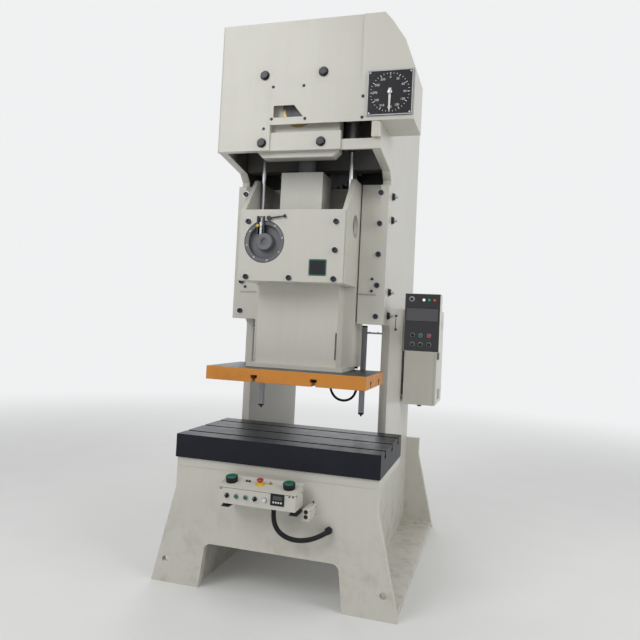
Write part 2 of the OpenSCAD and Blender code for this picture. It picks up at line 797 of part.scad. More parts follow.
tank_end = 80;
strap_x = 240;
strap_t = 24;
strap_d = 180;
module air_tank() color(paint) {
    z = crown_z + tank_up + tank_r;
    dome = [[0, 0], [0.55, 0.15], [0.85, 0.475], [1, 1]];
    translate([-tank_l / 2, tank_y, z]) rotate([0, 90, 0]) rotate_extrude() polygon(concat(
        [for (k = [0 : 3]) [dome[k][0] * tank_r, dome[k][1] * tank_end]],
        [for (k = [3 : -1 : 0]) [dome[k][0] * tank_r, tank_l - dome[k][1] * tank_end]]));
    for (s = [-1, 1]) translate([s * strap_x, tank_y, 0])
        block([-strap_t / 2, -strap_d / 2, crown_z], [strap_t / 2, strap_d / 2, z - tank_r * 0.6]);
}

// The crankshaft's eccentric stands straight below the shaft at rest
crank_end = gear_wall_y + gear_wall_t;
module crankshaft() color(steel) {
    bar_y([0, block_y, crank_z], shaft_r, crank_end - block_y);
    bar_y([0, die_y - ecc_l / 2, crank_z - ecc], ecc_r, ecc_l);
}

// Radius and angle of an involute flank, and the outline of a spur gear
function inv(a) = tan(a) * 180 / PI - a;
tooth_gap = 0.35;
function flank(n, m, r) = 90 / n - tooth_gap * 180 / (PI * n * m / 2) + inv(20)
    - inv(acos(min(1, n * m / 2 * cos(20) / r)));
function tooth(n, m, k, turn) = let (rp = n * m / 2, rb = rp * cos(20), ro = rp + 0.9 * m, ri = rp - 1.15 * m,
    rs = [for (j = [0 : 4]) max(rb, ri) + (ro - max(rb, ri)) * j / 4], a = 360 * k / n + turn)
    concat([[ri, a - flank(n, m, max(rb, ri))]], [for (j = [0 : 4]) [rs[j], a - flank(n, m, rs[j])]],
        [for (j = [4 : -1 : 0]) [rs[j], a + flank(n, m, rs[j])]], [[ri, a + flank(n, m, max(rb, ri))]]);
module gear_outline(n, m, turn)
    polygon([for (k = [0 : n - 1]) for (p = tooth(n, m, k, turn)) [p[0] * cos(p[1]), p[0] * sin(p[1])]]);

gear_hole_r = 85;
gear_hole_in = 270;
gear_spokes = 6;
gear_pocket = 20;
gear_rim = 50;
gear_hub = 60;
module main_gear() color(steel) difference() {
    slab_xz(gear_y, gear_t) translate([0, crank_z]) difference() {
        gear_outline(gear_n, gear_m, 0);
        circle(shaft_r);
        for (k = [0 : gear_spokes - 1]) rotate((k + 0.5) * 360 / gear_spokes)
            translate([gear_hole_in, 0]) circle(gear_hole_r);
    }
    for (y = [gear_y - 1, gear_y + gear_t - gear_pocket]) difference() {
        bar_y([0, y, crank_z], gear_m * gear_n / 2 - gear_rim, gear_pocket + 1);
        bar_y([0, y - 1, crank_z], shaft_r + gear_hub, gear_pocket + 3);
    }
}

pinion_front = gear_y - 5;
module pinion_shaft() color(steel) {
    slab_xz(pinion_front, gear_t + 10) translate([0, pinion_z]) gear_outline(pinion_n, gear_m, 180 / pinion_n);
    bar_y([0, pinion_front + gear_t / 2, pinion_z], pinion_r,
        fly_y + fly_t + clutch_l - pinion_front - gear_t / 2);
}

module clutch_unit() color(dark_steel) difference() {
    union() {
        bar_y([0, fly_y + fly_t + 1, pinion_z], clutch_r, clutch_l - 1);
        bar_y([0, fly_y + fly_t - fly_pocket + 1, pinion_z], clutch_r * 0.8, fly_pocket + 1);
    }
    bar_y([0, fly_y, pinion_z], pinion_r, fly_t + clutch_l + 1);
}

module bush(y, l, z, r) difference() {
    bar_y([0, y, z], r + fit_gap + bush_t, l);
    bar_y([0, y - 1, z], r + fit_gap, l + 2);
}
module shaft_bushes() color([0.72, 0.53, 0.25]) {
    bush(block_y, block_t, crank_z, shaft_r);
    bush(rear_block_y, rear_block_t, crank_z, shaft_r);
    bush(gear_wall_y, gear_wall_t, crank_z, shaft_r);
    bush(gear_wall_y, gear_wall_t, pinion_z, pinion_r);
    bush(frame_back - rear_t, rear_t, pinion_z, pinion_r);
}

module connecting_rod() color(steel) difference() {
    union() {
        bar_y([0, die_y - rod_l / 2, crank_z - ecc], ecc_r + fit_gap + rod_wall, rod_l);
        translate([0, die_y, rod_end_z + 40]) cylinder(r = rod_r, h = crank_z - ecc - ecc_r - rod_end_z - 60);
        translate([0, die_y, rod_end_z]) cylinder(r = rod_r * 0.8, h = 41);
    }
    bar_y([0, die_y - rod_l / 2 - 1, crank_z - ecc], ecc_r + fit_gap, rod_l + 2);
}

// Slide casting: guide wings, lower body, open-topped box and the neck for the rod
well_z = rod_end_z - stroke - 20;
module slide_body() color(paint) difference() {
    union() {
        // Side walls with their sloping front corner
        for (s = [0, 1]) mirror([s, 0, 0]) slab_yz(slide_w / 2 - slide_wall, slide_wall)
            polygon([[slide_y + cover_t, box_z], [slide_rear, box_z], [slide_rear, gib_top],
                [slide_y + slope_d + cover_t, gib_top], [slide_y + cover_t, box_top]]);
        block([-slide_w / 2, slide_y + cover_t, box_z], [slide_w / 2, slide_rear, box_z + slide_wall]);
        block([-slide_w / 2, slide_rear - slide_wall, box_z], [slide_w / 2, slide_rear, gib_top]);
        block([-neck_w / 2, die_y - neck_d / 2, box_z], [neck_w / 2, die_y + neck_d / 2, neck_z]);
        block([-body_w / 2, die_y - body_front, flange_top - eps], [body_w / 2, slide_rear, box_z + eps]);
        block([-slide_w / 2, die_y - wing_front, flange_top - eps], [slide_w / 2, slide_rear, box_z + eps]);
        block([-flange_w / 2, die_y - body_front - flange_out, ram_top],
            [flange_w / 2, slide_rear, flange_top]);
        for (s = [0, 1]) mirror([s, 0, 0])
            block([slide_w / 2 - eps, rib_y, flange_top], [slide_w / 2 + rib_out, rib_y + rib_w, gib_top]);
    }
    block([-neck_w / 2 + neck_wall, die_y - neck_d / 2 + neck_wall, well_z],
        [neck_w / 2 - neck_wall, die_y + neck_d / 2 - neck_wall, neck_z + 1]);
    bar_x([-slide_w / 2 - 1, die_y, side_hole_z], side_hole_r, slide_wall + 2);
    bar_x([slide_w / 2 - slide_wall - 1, die_y, side_hole_z], side_hole_r, slide_wall + 2);
}

disc_z = box_z + disc_up;
lever_x = -disc_x + lever_in;
lever_z = disc_z + lever_up;
module slide_front_cover() color(paint) difference() {
    slab_xz(slide_y, cover_t) difference() {
        translate([-box_w / 2, box_z]) square([box_w, box_h]);
        translate([-disc_x, disc_z]) circle(disc_r);
        translate([-disc_x - notch_w, disc_z]) square([notch_w, notch_h]);
        translate([lever_x, lever_z]) circle(lever_pin_r + fit_gap);
    }
}

case_y = slide_y + 4;
case_hub_r = 55;
hand_out = 10;
module adjuster_case() color(dark_steel) {
    bar_y([-disc_x, case_y, disc_z], disc_r - disc_gap, die_y - neck_d / 2 - case_y);
    bar_y([-disc_x, case_y - hand_out, disc_z], case_hub_r, hand_out + eps);
    block([-disc_x - notch_w + disc_gap, case_y - hand_out, disc_z + case_hub_r - 5],
        [-disc_x - disc_gap, case_y + 40, disc_z + notch_h - disc_gap]);
}

lever_tilt = 8;
lever_boss = 20;
module adjuster_lever() color(black) {
    y0 = slide_y - lever_boss - 1;
    bar_y([lever_x, y0, lever_z], lever_pin_r, lever_boss + cover_t + 16);
    bar_y([lever_x, y0, lever_z], lever_pin_r + 7, lever_boss);
    translate([lever_x, y0 + 8, lever_z]) rotate([0, 90 - lever_tilt, 0]) {
        cylinder(r = 5, h = lever_l);
        translate([0, 0, lever_l]) sphere(lever_ball_r);
    }
}

// The slide plate, with T-slots that open downwards in both directions
module slide_plate() color(orange) difference() {
    block([-ram_w / 2, ram_y, ram_z], [ram_w / 2, ram_y + ram_d, ram_top]);
    for (s = [-1, 1]) {
        translate([0, die_y + s * ram_slot_y, ram_z]) mirror([0, 0, 1]) slot_x(ram_w + 2);
        translate([s * ram_slot_x, die_y, ram_z]) mirror([0, 0, 1]) rotate(90) slot_x(ram_d + 2);
    }
}

cover_screw_x = 310;
hose_fit_x = [160, 370];
hose_fit_z = 1430;
hose_fit_l = 24;
hose_off = 20;
module slide_bolts() color(dark_steel) {
    for (p = [[1, 404], [1, 215], [1, 24], [0, 24], [-1, 24], [-1, 404]])
        bar_y([p[0] * cover_screw_x, slide_y - cap_h, box_z + p[1]], cap_r, cap_h);
    for (x = hose_fit_x) translate([x, ram_y + ram_d, hose_fit_z]) {
        bar_y([0, 0, 0], thin_hose_r, hose_off);
        translate([0, hose_off, -hose_fit_l]) cylinder(r = thin_hose_r + 3, h = hose_fit_l + 10);
    }
}

bal_rod_top = bal_z + 60;
module balancer_cylinders() color(steel) for (s = [-1, 1]) translate([s * bal_x, die_y, bal_z]) {
    difference() {
        cylinder(r = bal_r, h = bal_l);
        translate([0, 0, 20]) cylinder(r = bal_r - bal_wall, h = bal_l - 40);
        translate([0, 0, -1]) cylinder(r = bal_rod_r + fit_gap, h = 30);
    }
    for (z = [60, bal_l - 100]) difference() {
        block([-30, 0, z], [30, rear_block_y - die_y, z + 40]);
        translate([0, 0, -1]) cylinder(r = bal_r - eps, h = bal_l + 2);
    }
}

module balancer_rods() color(steel) for (s = [-1, 1]) translate([s * bal_x, die_y, 0]) {
    translate([0, 0, box_z + slide_wall]) cylinder(r = bal_rod_r, h = bal_rod_top - box_z - slide_wall);
    translate([0, 0, bal_rod_top]) cylinder(r = bal_r - bal_wall - 0.3, h = 40);
}

// Bars of the light curtain hang from brackets on the side plates' inner faces
bar_x_in = 380;
bar_y_back = gib_seat_y + gib_deep + 20;
bracket_z = gib_z - 70;
bracket_t = 12;
bracket_grip = 45;
module light_bars() color([0.45, 0.46, 0.48]) for (s = [0, 1]) mirror([s, 0, 0]) {
    block([bar_x_in, bar_y_back, bar_z], [bar_x_in + bar_w, bar_y_back + bar_w, gib_z - 10]);
    block([bar_x_in, bar_y_back + bar_w, bracket_z], [inner_w, throat_y + bracket_grip, bracket_z + bracket_t]);
}

// Control box for both hands: its lid slopes up to the back and has round holes for the buttons
desk_wall = 3;
desk_mid = desk_y + desk_d / 2;
desk_tilt = atan(desk_rise / desk_d);
function lid_z(y, inset) = desk_top + (y - desk_y) * desk_rise / desk_d - inset / cos(desk_tilt);
module desk_shape(inset) {
    y0 = desk_y + inset;
    y1 = desk_y + desk_d - inset;
    translate([-desk_w / 2 + inset, 0, 0]) rotate([90, 0, 90]) linear_extrude(desk_w - 2 * inset)
        polygon([[y0, desk_z + inset], [y1, desk_z + inset], [y1, lid_z(y1, inset)], [y0, lid_z(y0, inset)]]);
}
module on_lid(x, up) translate([x, desk_mid, lid_z(desk_mid, 0)]) rotate([desk_tilt, 0, 0])
    translate([0, 0, up]) children();
function desk_button_x(k) = -desk_x + (k - 3) * button_pitch - 7;
module control_box() color(paint) translate([-desk_x, 0, 0]) difference() {
    desk_shape(0);
    desk_shape(desk_wall);
    for (x = [-palm_pitch / 2, 0, palm_pitch / 2])
        on_lid(x - palm_shift, -10) cylinder(r = stem_r + stem_gap, h = 20);
    for (k = [0 : 4])
        bar_y([desk_button_x(k) + desk_x, desk_y - 1, desk_z + desk_h / 2], stem_r + stem_gap, 12);
}

hose_start = [60, desk_y + 90, desk_z];
hose_end = [388, base_front_y, 498];
gland_l = 30;
gland_r = hose_r + 6;
pad_r = 27;
pad_h = 30;
pad_x = desk_w / 2 - pad_r - 0.5;
pad_y = desk_y + 75;
pad_plate_t = 8;
socket_w = 46;
socket_h = 74;
socket_d = 145;
socket_left = 136;
socket_up = 80;
tab_t = 3;
tab_out = 18;
ring_t = 1;
palm_lift = palm_ring_h - palm_travel - 6;
stop_lift = 22;
module control_brackets() color(black) {
    for (s = [-1, 1]) translate([-desk_x + s * pad_x, 0, desk_z - pad_h]) {
        translate([0, pad_y, 0]) cylinder(r = pad_r, h = pad_h);
        block([-pad_r, pad_y - pad_r, -pad_plate_t], [pad_r, base_front_y, 0]);
    }
    translate(hose_start - [0, 0, gland_l]) cylinder(r = gland_r, h = gland_l);
    bar_y(hose_end - [0, gland_l, 0], gland_r, gland_l);
    translate([hose_end[0] - socket_left, base_front_y, hose_end[2] + socket_up]) {
        translate([0, -socket_d, 0]) cube([socket_w, socket_d, socket_h]);
        translate([0, -tab_t, -tab_out]) cube([socket_w, tab_t, socket_h + 2 * tab_out]);
    }
    for (s = [-1, 1]) on_lid(-desk_x - palm_shift + s * palm_pitch / 2, 0) difference() {
        cylinder(r = palm_r + palm_ring, h = palm_ring_h);
        translate([0, 0, -1]) cylinder(r = palm_r + ring_t, h = palm_ring_h + 2);
    }
    on_lid(-desk_x - palm_shift, 0) difference() {
        union() {
            cylinder(r = stop_r + 8, h = 2);
            cylinder(r = stop_r - 5, h = stop_lift - stop_travel - 1);
        }
        translate([0, 0, -1]) cylinder(r = stem_r + stem_gap, h = stop_lift);
    }
}

// A tube along a list of points, with round sections square to its path
function unit(v) = v / norm(v);
function along(p, i) = unit(p[min(i + 1, len(p) - 1)] - p[max(i - 1, 0)]);
function ring(p, i, r, up, sides) = let (t = along(p, i), u = unit(cross(t, up)), v = cross(t, u))
    [for (k = [0 : sides - 1]) p[i] + r * (cos(360 * k / sides) * u + sin(360 * k / sides) * v)];
module tube(p, r, up, sides) {
    n = len(p);
    polyhedron([for (i = [0 : n - 1]) each ring(p, i, r, up, sides)],
        concat([[for (k = [0 : sides - 1]) k]], [[for (k = [sides - 1 : -1 : 0]) (n - 1) * sides + k]],
            [for (i = [0 : n - 2], k = [0 : sides - 1]) [i * sides + (k + 1) % sides, i * sides + k,
                (i + 1) * sides + k, (i + 1) * sides + (k + 1) % sides]]), convexity = 8);
}
control_hose_points = [[60, -1175, 613], [60, -1175, 585], [63, -1174, 555], [71, -1172, 525], [86, -1168, 497],
    [108, -1164, 474], [136, -1159, 457], [168, -1153, 446], [202, -1147, 441], [236, -1141, 441],
    [269, -1135, 446], [300, -1129, 455], [328, -1122, 466], [352, -1116, 478], [371, -1109, 489],
    [384, -1101, 496], [388, -1091, 498], [388, -1080, 498]];
module control_hose() color(black) tube(control_hose_points, hose_r, [0, 1, 0.3], 10);

slide_hose_points = [[160, -335, 1406], [160, -335, 1380], [161, -335, 1350], [165, -335, 1320],
    [173, -335, 1292], [186, -335, 1268], [204, -335, 1248], [227, -335, 1234], [253, -335, 1227],
    [280, -335, 1227], [305, -335, 1234], [327, -335, 1247], [345, -335, 1267], [357, -335, 1292],
    [365, -335, 1320], [369, -335, 1350], [370, -335, 1380], [370, -335, 1406]];
module slide_hose() color(black) tube(slide_hose_points, thin_hose_r, [0, 1, 0], 10);

// Electrical cabinet on the right side plate, its door and the operator panel's arm
cab_wall = 3;
hinge_x = cab_x + cab_w + door_t / 2 + 2;
hinge_y = cab_back + 10;
hinge_pin_r = 4;
hinge_l = 60;
hinge_end = 90;
hinge_up = [hinge_end, cab_h - hinge_end - hinge_l];
hinge_t = 12;
knuckle_r = 8;
boss_in = 60;
boss_r = 18;
module cabinet() color(paint) {
    difference() {
        block([cab_x, cab_y, cab_z], [cab_x + cab_w, cab_back, cab_z + cab_h]);
        block([cab_x + cab_wall, cab_y + cab_wall, cab_z + cab_wall],
            [cab_x + cab_w + 1, cab_back - cab_wall, cab_z + cab_h - cab_wall]);
    }
    for (y = [cab_y + boss_in, cab_back - boss_in], z = [cab_z + boss_in, cab_z + cab_h - boss_in])
        bar_x([half_w, y, z], boss_r, cab_gap);
    for (z = hinge_up) translate([0, 0, cab_z + z]) {
        block([cab_x + cab_w - 24, cab_back, -hinge_t], [hinge_x + 7, hinge_y + 7, 0]);
        translate([hinge_x, hinge_y, -hinge_t]) cylinder(r = hinge_pin_r, h = hinge_t + hinge_l);
    }
}

door_gap = 1;
door_x = cab_x + cab_w + door_gap;
hinge_cut = 14;
handle_in = 36;
handle_up = 384;
handle_t = 16;
handle_w = 24;
handle_l = 120;
module cabinet_door() color(paint) {
    difference() {
        block([door_x, cab_y + 2, cab_z + 2], [door_x + door_t, cab_back - 2, cab_z + cab_h - 2]);
        for (z = hinge_up) block([door_x - 1, cab_back - hinge_cut, cab_z + z - hinge_cut],
            [door_x + door_t + 1, cab_back, cab_z + z + hinge_l + 2]);
    }
    for (z = hinge_up) difference() {
        union() {
            translate([hinge_x, hinge_y, cab_z + z + 0.5]) cylinder(r = knuckle_r, h = hinge_l - 4);
            block([hinge_x - 2, cab_back - hinge_cut - 1, cab_z + z + 0.5],
                [hinge_x + 5, hinge_y, cab_z + z + hinge_l - 3.5]);
        }
        translate([hinge_x, hinge_y, cab_z + z - 1]) cylinder(r = hinge_pin_r + fit_gap, h = hinge_l + 2);
    }
    translate([door_x + door_t, cab_y + handle_in, cab_z + handle_up]) cube([handle_t, handle_w, handle_l]);
}

arm_w = 60;
arm_h = 90;
arm_in = 50;
arm_up = 150;
module panel_arm() color(paint) translate([panel_x + arm_in, 0, panel_z + arm_up]) difference() {
    block([0, panel_y + panel_d, 0], [arm_w, cab_y, arm_h]);
    block([4, panel_y + panel_d - 1, 4], [arm_w - 4, cab_y + 1, arm_h - 4]);
}

// Operator panel: rows of buttons, measured from its lower left corner
panel_row = [49, 110];
panel_col = [61, 115, 173];
lamp_col = [129, 166, 203];
lamp_up = 354;
lamp_r = 9;
lamp_out = 6;
panel_wall = 4;
module operator_panel() color(black) {
    difference() {
        block([panel_x, panel_y, panel_z], [panel_x + panel_w, panel_y + panel_d, panel_z + panel_h]);
        block([panel_x + panel_wall, panel_y + panel_wall, panel_z + panel_wall],
            [panel_x + panel_w - panel_wall, panel_y + panel_d - panel_wall, panel_z + panel_h - panel_wall]);
        for (i = [0 : 2], j = [0 : 1]) if (i < 2 || j > 0)
            bar_y([panel_x + panel_col[i], panel_y - 1, panel_z + panel_row[j]], stem_r + stem_gap, 12);
    }
    for (x = lamp_col) bar_y([panel_x + x, panel_y - lamp_out, panel_z + lamp_up], lamp_r, lamp_out + eps);
    panel_knob(2, 0);
}

// Buttons: a cap in front of the panel on a stem that passes through it
module push_y(x, y, z) {
    bar_y([x, y - button_travel - 1 - 7, z], button_r, 7 + eps);
    bar_y([x, y - button_travel - 1, z], stem_r, button_travel + 1 + 16);
}
module knob_y(x, y, z) {
    bar_y([x, y - 13, z], button_r, 12);
    block([x - 3.5, y - 23, z - button_r], [x + 3.5, y - 12, z + button_r]);
    bar_y([x, y - 2, z], stem_r, 18);
}
module push_lid(x, r, lift, h) {
    on_lid(x - palm_shift, lift) cylinder(r = r, h = h);
    on_lid(x - palm_shift, -14) cylinder(r = stem_r, h = lift + 15);
}

module palm_button_left() color(green) push_lid(-desk_x - palm_pitch / 2, palm_r, palm_lift, 18);
module palm_button_right() color(green) push_lid(-desk_x + palm_pitch / 2, palm_r, palm_lift, 18);
module stop_button() color(red) push_lid(-desk_x, stop_r, stop_lift, 16);
module desk_push(k) push_y(desk_button_x(k), desk_y, desk_z + desk_h / 2);
module desk_knob(k) knob_y(desk_button_x(k), desk_y, desk_z + desk_h / 2);
module mode_knob() color(black) desk_knob(0);
module run_button_left() color(green) desk_push(1);
module run_button_right() color(green) desk_push(2);
module jog_knob() color(black) desk_knob(3);
module reset_button() color(steel) desk_push(4);
module panel_push(i, j) push_y(panel_x + panel_col[i], panel_y, panel_z + panel_row[j]);
module panel_knob(i, j) knob_y(panel_x + panel_col[i], panel_y, panel_z + panel_row[j]);
module panel_button_grey() color(steel) panel_push(0, 1);
module panel_button_green() color(green) panel_push(1, 1);
module panel_button_red() color(red) panel_push(2, 1);
module panel_knob_left() color(black) panel_knob(0, 0);
module panel_knob_middle() color(black) panel_knob(1, 0);

left_side_plate();
right_side_plate();
crown_front_plate();
bearing_blocks();
gear_wall();
crown_top_plate();
rear_wall();
bed_plate();
base_front_plate();
base_rear_plate();
foot_plates();
bolster();
gibs();
frame_bolts();
front_cover();
dial_face();
motor();
motor_base();
drive_belts();
belt_guard();
air_tank();
cabinet();
panel_arm();
operator_panel();
control_box();
control_brackets();
control_hose();
light_bars();
shaft_bushes();
balancer_cylinders();
crankshaft();
main_gear();
connecting_rod();
pinion_shaft();
clutch_unit();
flywheel();
motor_pulley();
dial_pointer();
slide_body();
slide_front_cover();
slide_plate();
slide_bolts();
adjuster_case();
adjuster_lever();
balancer_rods();
slide_hose();
cabinet_door();
palm_button_left();
palm_button_right();
stop_button();
mode_knob();
run_button_left();
run_button_right();
jog_knob();
reset_button();
panel_button_grey();
panel_button_green();
panel_button_red();
panel_knob_left();
panel_knob_middle();
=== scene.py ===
# An open-front stamping press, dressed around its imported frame. Shapes are drawn in millimetres.
import json
import math
import bmesh
import bpy
import numpy as np
from mathutils import Matrix, Vector

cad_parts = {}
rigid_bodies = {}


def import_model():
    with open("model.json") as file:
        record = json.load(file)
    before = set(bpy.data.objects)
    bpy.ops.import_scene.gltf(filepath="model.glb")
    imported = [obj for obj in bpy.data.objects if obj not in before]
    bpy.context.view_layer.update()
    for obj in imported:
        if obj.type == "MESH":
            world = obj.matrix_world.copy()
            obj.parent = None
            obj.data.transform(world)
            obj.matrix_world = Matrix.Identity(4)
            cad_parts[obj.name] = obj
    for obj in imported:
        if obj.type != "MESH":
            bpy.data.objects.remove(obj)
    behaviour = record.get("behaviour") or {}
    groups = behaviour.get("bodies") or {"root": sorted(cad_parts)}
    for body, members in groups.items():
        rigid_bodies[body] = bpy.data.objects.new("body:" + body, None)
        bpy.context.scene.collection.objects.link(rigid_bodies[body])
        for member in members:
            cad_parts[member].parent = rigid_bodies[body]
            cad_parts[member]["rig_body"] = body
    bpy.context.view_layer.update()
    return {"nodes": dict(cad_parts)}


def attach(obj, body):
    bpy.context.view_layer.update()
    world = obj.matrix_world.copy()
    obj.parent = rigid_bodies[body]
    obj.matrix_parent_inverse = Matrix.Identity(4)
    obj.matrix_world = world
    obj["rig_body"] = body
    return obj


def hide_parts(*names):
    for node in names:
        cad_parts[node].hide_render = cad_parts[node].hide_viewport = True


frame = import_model()
nodes = frame["nodes"]
print("frame loaded:", len(nodes), "nodes")

cameraSetup = {
    "place": (1.373, -4.939, 1.787),
    "yaw": math.radians(16.745),
    "pitch": math.radians(2.120),
    "roll": math.radians(2.829),
    "lens": 35.53,
    "shiftX": 0.0125,
    "shiftY": -0.03125,
}


def makeCamera(setup):
    # forward is turned left by yaw and up by pitch, then the frame rolls about it
    yaw, pitch, roll = setup["yaw"], setup["pitch"], setup["roll"]
    level = Vector((-math.sin(yaw), math.cos(yaw), 0))
    aside = Vector((math.cos(yaw), math.sin(yaw), 0))
    ahead = level * math.cos(pitch) + Vector((0, 0, math.sin(pitch)))
    above = Vector((0, 0, math.cos(pitch))) - level * math.sin(pitch)
    right = aside * math.cos(roll) + above * math.sin(roll)
    top = above * math.cos(roll) - aside * math.sin(roll)
    data = bpy.data.cameras.new("camera")
    data.lens = setup["lens"]
    data.shift_x = setup["shiftX"]
    data.shift_y = setup["shiftY"]
    data.clip_end = 60
    camera = bpy.data.objects.new("camera", data)
    turn = Matrix((right, top, -ahead)).transposed()
    camera.matrix_world = Matrix.Translation(setup["place"]) @ turn.to_4x4()
    bpy.context.scene.collection.objects.link(camera)
    bpy.context.scene.camera = camera


makeCamera(cameraSetup)
front, back, right, up, down = (0, -1, 0), (0, 1, 0), (1, 0, 0), (0, 0, 1), (0, 0, -1)


# each maker of a shape returns its points and its faces
def gridFaces(rows, columns):
    # quads between neighbouring rows, closed round the seam
    i, j = np.meshgrid(np.arange(rows - 1), np.arange(columns), indexing="ij")
    near, far = i * columns, (i + 1) * columns
    k = (j + 1) % columns
    return np.stack([near + j, near + k, far + k, far + j], -1).reshape(-1, 4).tolist()


def spun(profile, sides=40):
    # surface of revolution about +Z from rows of radius and height; a third value of 1 turns the
    # circle into a hexagon, radius / cos(angle to the nearest flat); a profile that doesn't end
    # where it starts is closed to the axis at both ends
    if profile[0] != profile[-1]:
        starts, ends = ([(0, height)] if radius > 0 else [] for radius, height, *_ in (profile[0], profile[-1]))
        profile = [*starts, *profile, *ends]
    rows = np.array([(*p, 0)[:3] for p in profile], float)
    angle = np.arange(sides) * 2 * math.pi / sides
    step = math.pi / 3
    wide = 1 / np.cos((angle + step / 2) % step - step / 2)
    radius = rows[:, :1] * (1 + rows[:, 2:] * (wide - 1))
    points = np.stack([radius * np.cos(angle), radius * np.sin(angle), rows[:, 1:2] + 0 * radius], -1)
    return points.reshape(-1, 3), gridFaces(len(rows), sides)


def runLength(line):
    # length along a line up to each of its points
    return np.concatenate([[0], np.cumsum(np.linalg.norm(np.diff(line, axis=0), axis=1))])


def swept(path, radius, sides=12, ripple=0.0, pitch=10):
    # tube along a path: each ring is path + r (cos u, sin v), and r swells by the ripple every pitch
    path = np.array(path, float)
    step = np.gradient(path, axis=0)
    step /= np.linalg.norm(step, axis=1)[:, None]
    first = np.cross(step[0], (0.31, 0.52, 0.79))  # any direction that no path starts in
    across = [first / np.linalg.norm(first)]
    for t in step[1:]:
        side = across[-1] - t * np.dot(across[-1], t)
        across.append(side / np.linalg.norm(side))
    across = np.array(across)
    other = np.cross(step, across)
    swell = radius * (1 + ripple * np.sin(runLength(path) / pitch * 2 * math.pi))
    swell[[0, -1]] *= 0.999
    angle = np.arange(sides) * 2 * math.pi / sides
    ring = np.cos(angle)[None, :, None] * across[:, None] + np.sin(angle)[None, :, None] * other[:, None]
    points = path[:, None] + swell[:, None, None] * ring
    points = np.concatenate([points.reshape(-1, 3), path[:1], path[-1:]])
    n = len(path) * sides
    faces = gridFaces(len(path), sides) + [[n, (k + 1) % sides, k] for k in range(sides)]
    faces += [[n + 1, n - sides + k, n - sides + (k + 1) % sides] for k in range(sides)]
    return points, faces


def smoothPath(points, count):
    # Catmull-Rom curve through the points, at even steps of its length
    p = np.array(points, float)
    p = np.concatenate([2 * p[:1] - p[1:2], p, 2 * p[-1:] - p[-2:-1]])
    t = np.linspace(0, 1, 24, endpoint=False)[:, None]
    runs = [0.5 * (2 * b + (c - a) * t + (2 * a - 5 * b + 4 * c - d) * t ** 2
                   + (3 * b - a - 3 * c + d) * t ** 3) for a, b, c, d in zip(p[:-3], p[1:-2], p[2:-1], p[3:])]
    line = np.concatenate(runs + [p[-2:-1]])
    length = runLength(line)
    even = np.linspace(0, length[-1], count)
    return np.stack([np.interp(even, length, line[:, k]) for k in range(3)], -1)


def prism(outline, low, high, axis="Y"):
    # outline extruded from low to high along the axis; it gives the other two coordinates in X, Y, Z order
    flat = np.array(outline, float)
    count = len(flat)
    order = {"X": (2, 0, 1), "Y": (0, 2, 1), "Z": (0, 1, 2)}[axis]
    sets = [np.column_stack([flat, np.full(count, level)])[:, order] for level in (low, high)]
    loop = np.arange(count)
    side = np.stack([loop, (loop + 1) % count, (loop + 1) % count + count, loop + count], -1)
    return np.concatenate(sets), side.tolist() + [loop[::-1].tolist(), (loop + count).tolist()]


def barPart(low, high):
    # straight bar between two corners; its edges are rounded by its piece's bevel
    (a, b, c), (d, e, f) = low, high
    return prism([(a, b), (d, b), (d, e), (a, e)], c, f, "Z")


def borderParts(low, high, width, across=0):
    # four bars round a rectangle that looks along Y, or along X where across is 1
    low, high, rise = np.array(low, float), np.array(high, float), np.array((0, 0, width))
    near, far = high - rise, low + rise
    near[across], far[across] = low[across] + width, high[across] - width
    return [barPart(low, (*high[:2], low[2] + width)), barPart((*low[:2], high[2] - width), high),
            barPart(low + rise, near), barPart(far, high - rise)]


def roundedBox(low, high, radius, steps=4):
    # box whose upright edges are quarter circles, and whose rows step in at top and bottom
    low, high = np.array(low, float), np.array(high, float)
    quarters = np.arange(4) * math.pi / 2
    angle = np.concatenate([np.linspace(q, q + math.pi / 2, steps + 1) for q in quarters])
    quarter = np.repeat(np.array([(1, 1), (-1, 1), (-1, -1), (1, -1)], float), steps + 1, axis=0)
    middle, half = (low + high) / 2, (high - low) / 2
    lean = np.linspace(0, math.pi / 2, steps + 1)
    rows = [(radius * (1 - math.sin(a)), low[2] + radius * (1 - math.cos(a))) for a in lean]
    rows += [(radius * (1 - math.cos(a)), high[2] - radius * (1 - math.sin(a))) for a in lean]
    around = np.stack([np.cos(angle), np.sin(angle)], -1)
    corners = middle[:2] + quarter * (half[:2] - radius)
    columns = len(angle)
    rings = [np.column_stack([corners + around * (radius - inset), np.full(columns, z)]) for inset, z in rows]
    total = len(rows) * columns
    faces = gridFaces(len(rows), columns)
    return np.concatenate(rings), faces + [list(range(columns))[::-1], list(range(total - columns, total))]


def at(part, place, towards=front):
    # turns a part's +Z to a direction and moves it to its place
    turn = np.array(Vector((0, 0, 1)).rotation_difference(Vector(towards)).to_matrix())
    return part[0] @ turn.T + np.array(place, float), part[1]


def spread(part, places, towards=front):
    return [at(part, place, towards) for place in places]


def gathered(parts):
    # several parts as one set of points and faces
    points, faces, start = [], [], 0
    for p, f in parts:
        points.append(p)
        faces += [[i + start for i in face] for face in f]
        start += len(p)
    return np.concatenate(points), faces


def makePiece(name, parts, finish, body="frame", bevel=0, smooth=40, node=None, slot=None):
    # one closed mesh of the parts, with outward faces; node names the CAD node that it replaces
    points, faces = gathered(parts)
    mesh = bpy.data.meshes.new(name)
    mesh.from_pydata((points / 1000).tolist(), [], faces)
    mesh.validate()
    piece = bpy.data.objects.new(name, mesh)
    bpy.context.scene.collection.objects.link(piece)
    tidyMesh(mesh, smooth)
    mesh.materials.append(finishes[finish])
    if bevel:
        addBevel(piece, bevel)
    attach(piece, body)
    if node:
        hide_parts(node)
    return piece


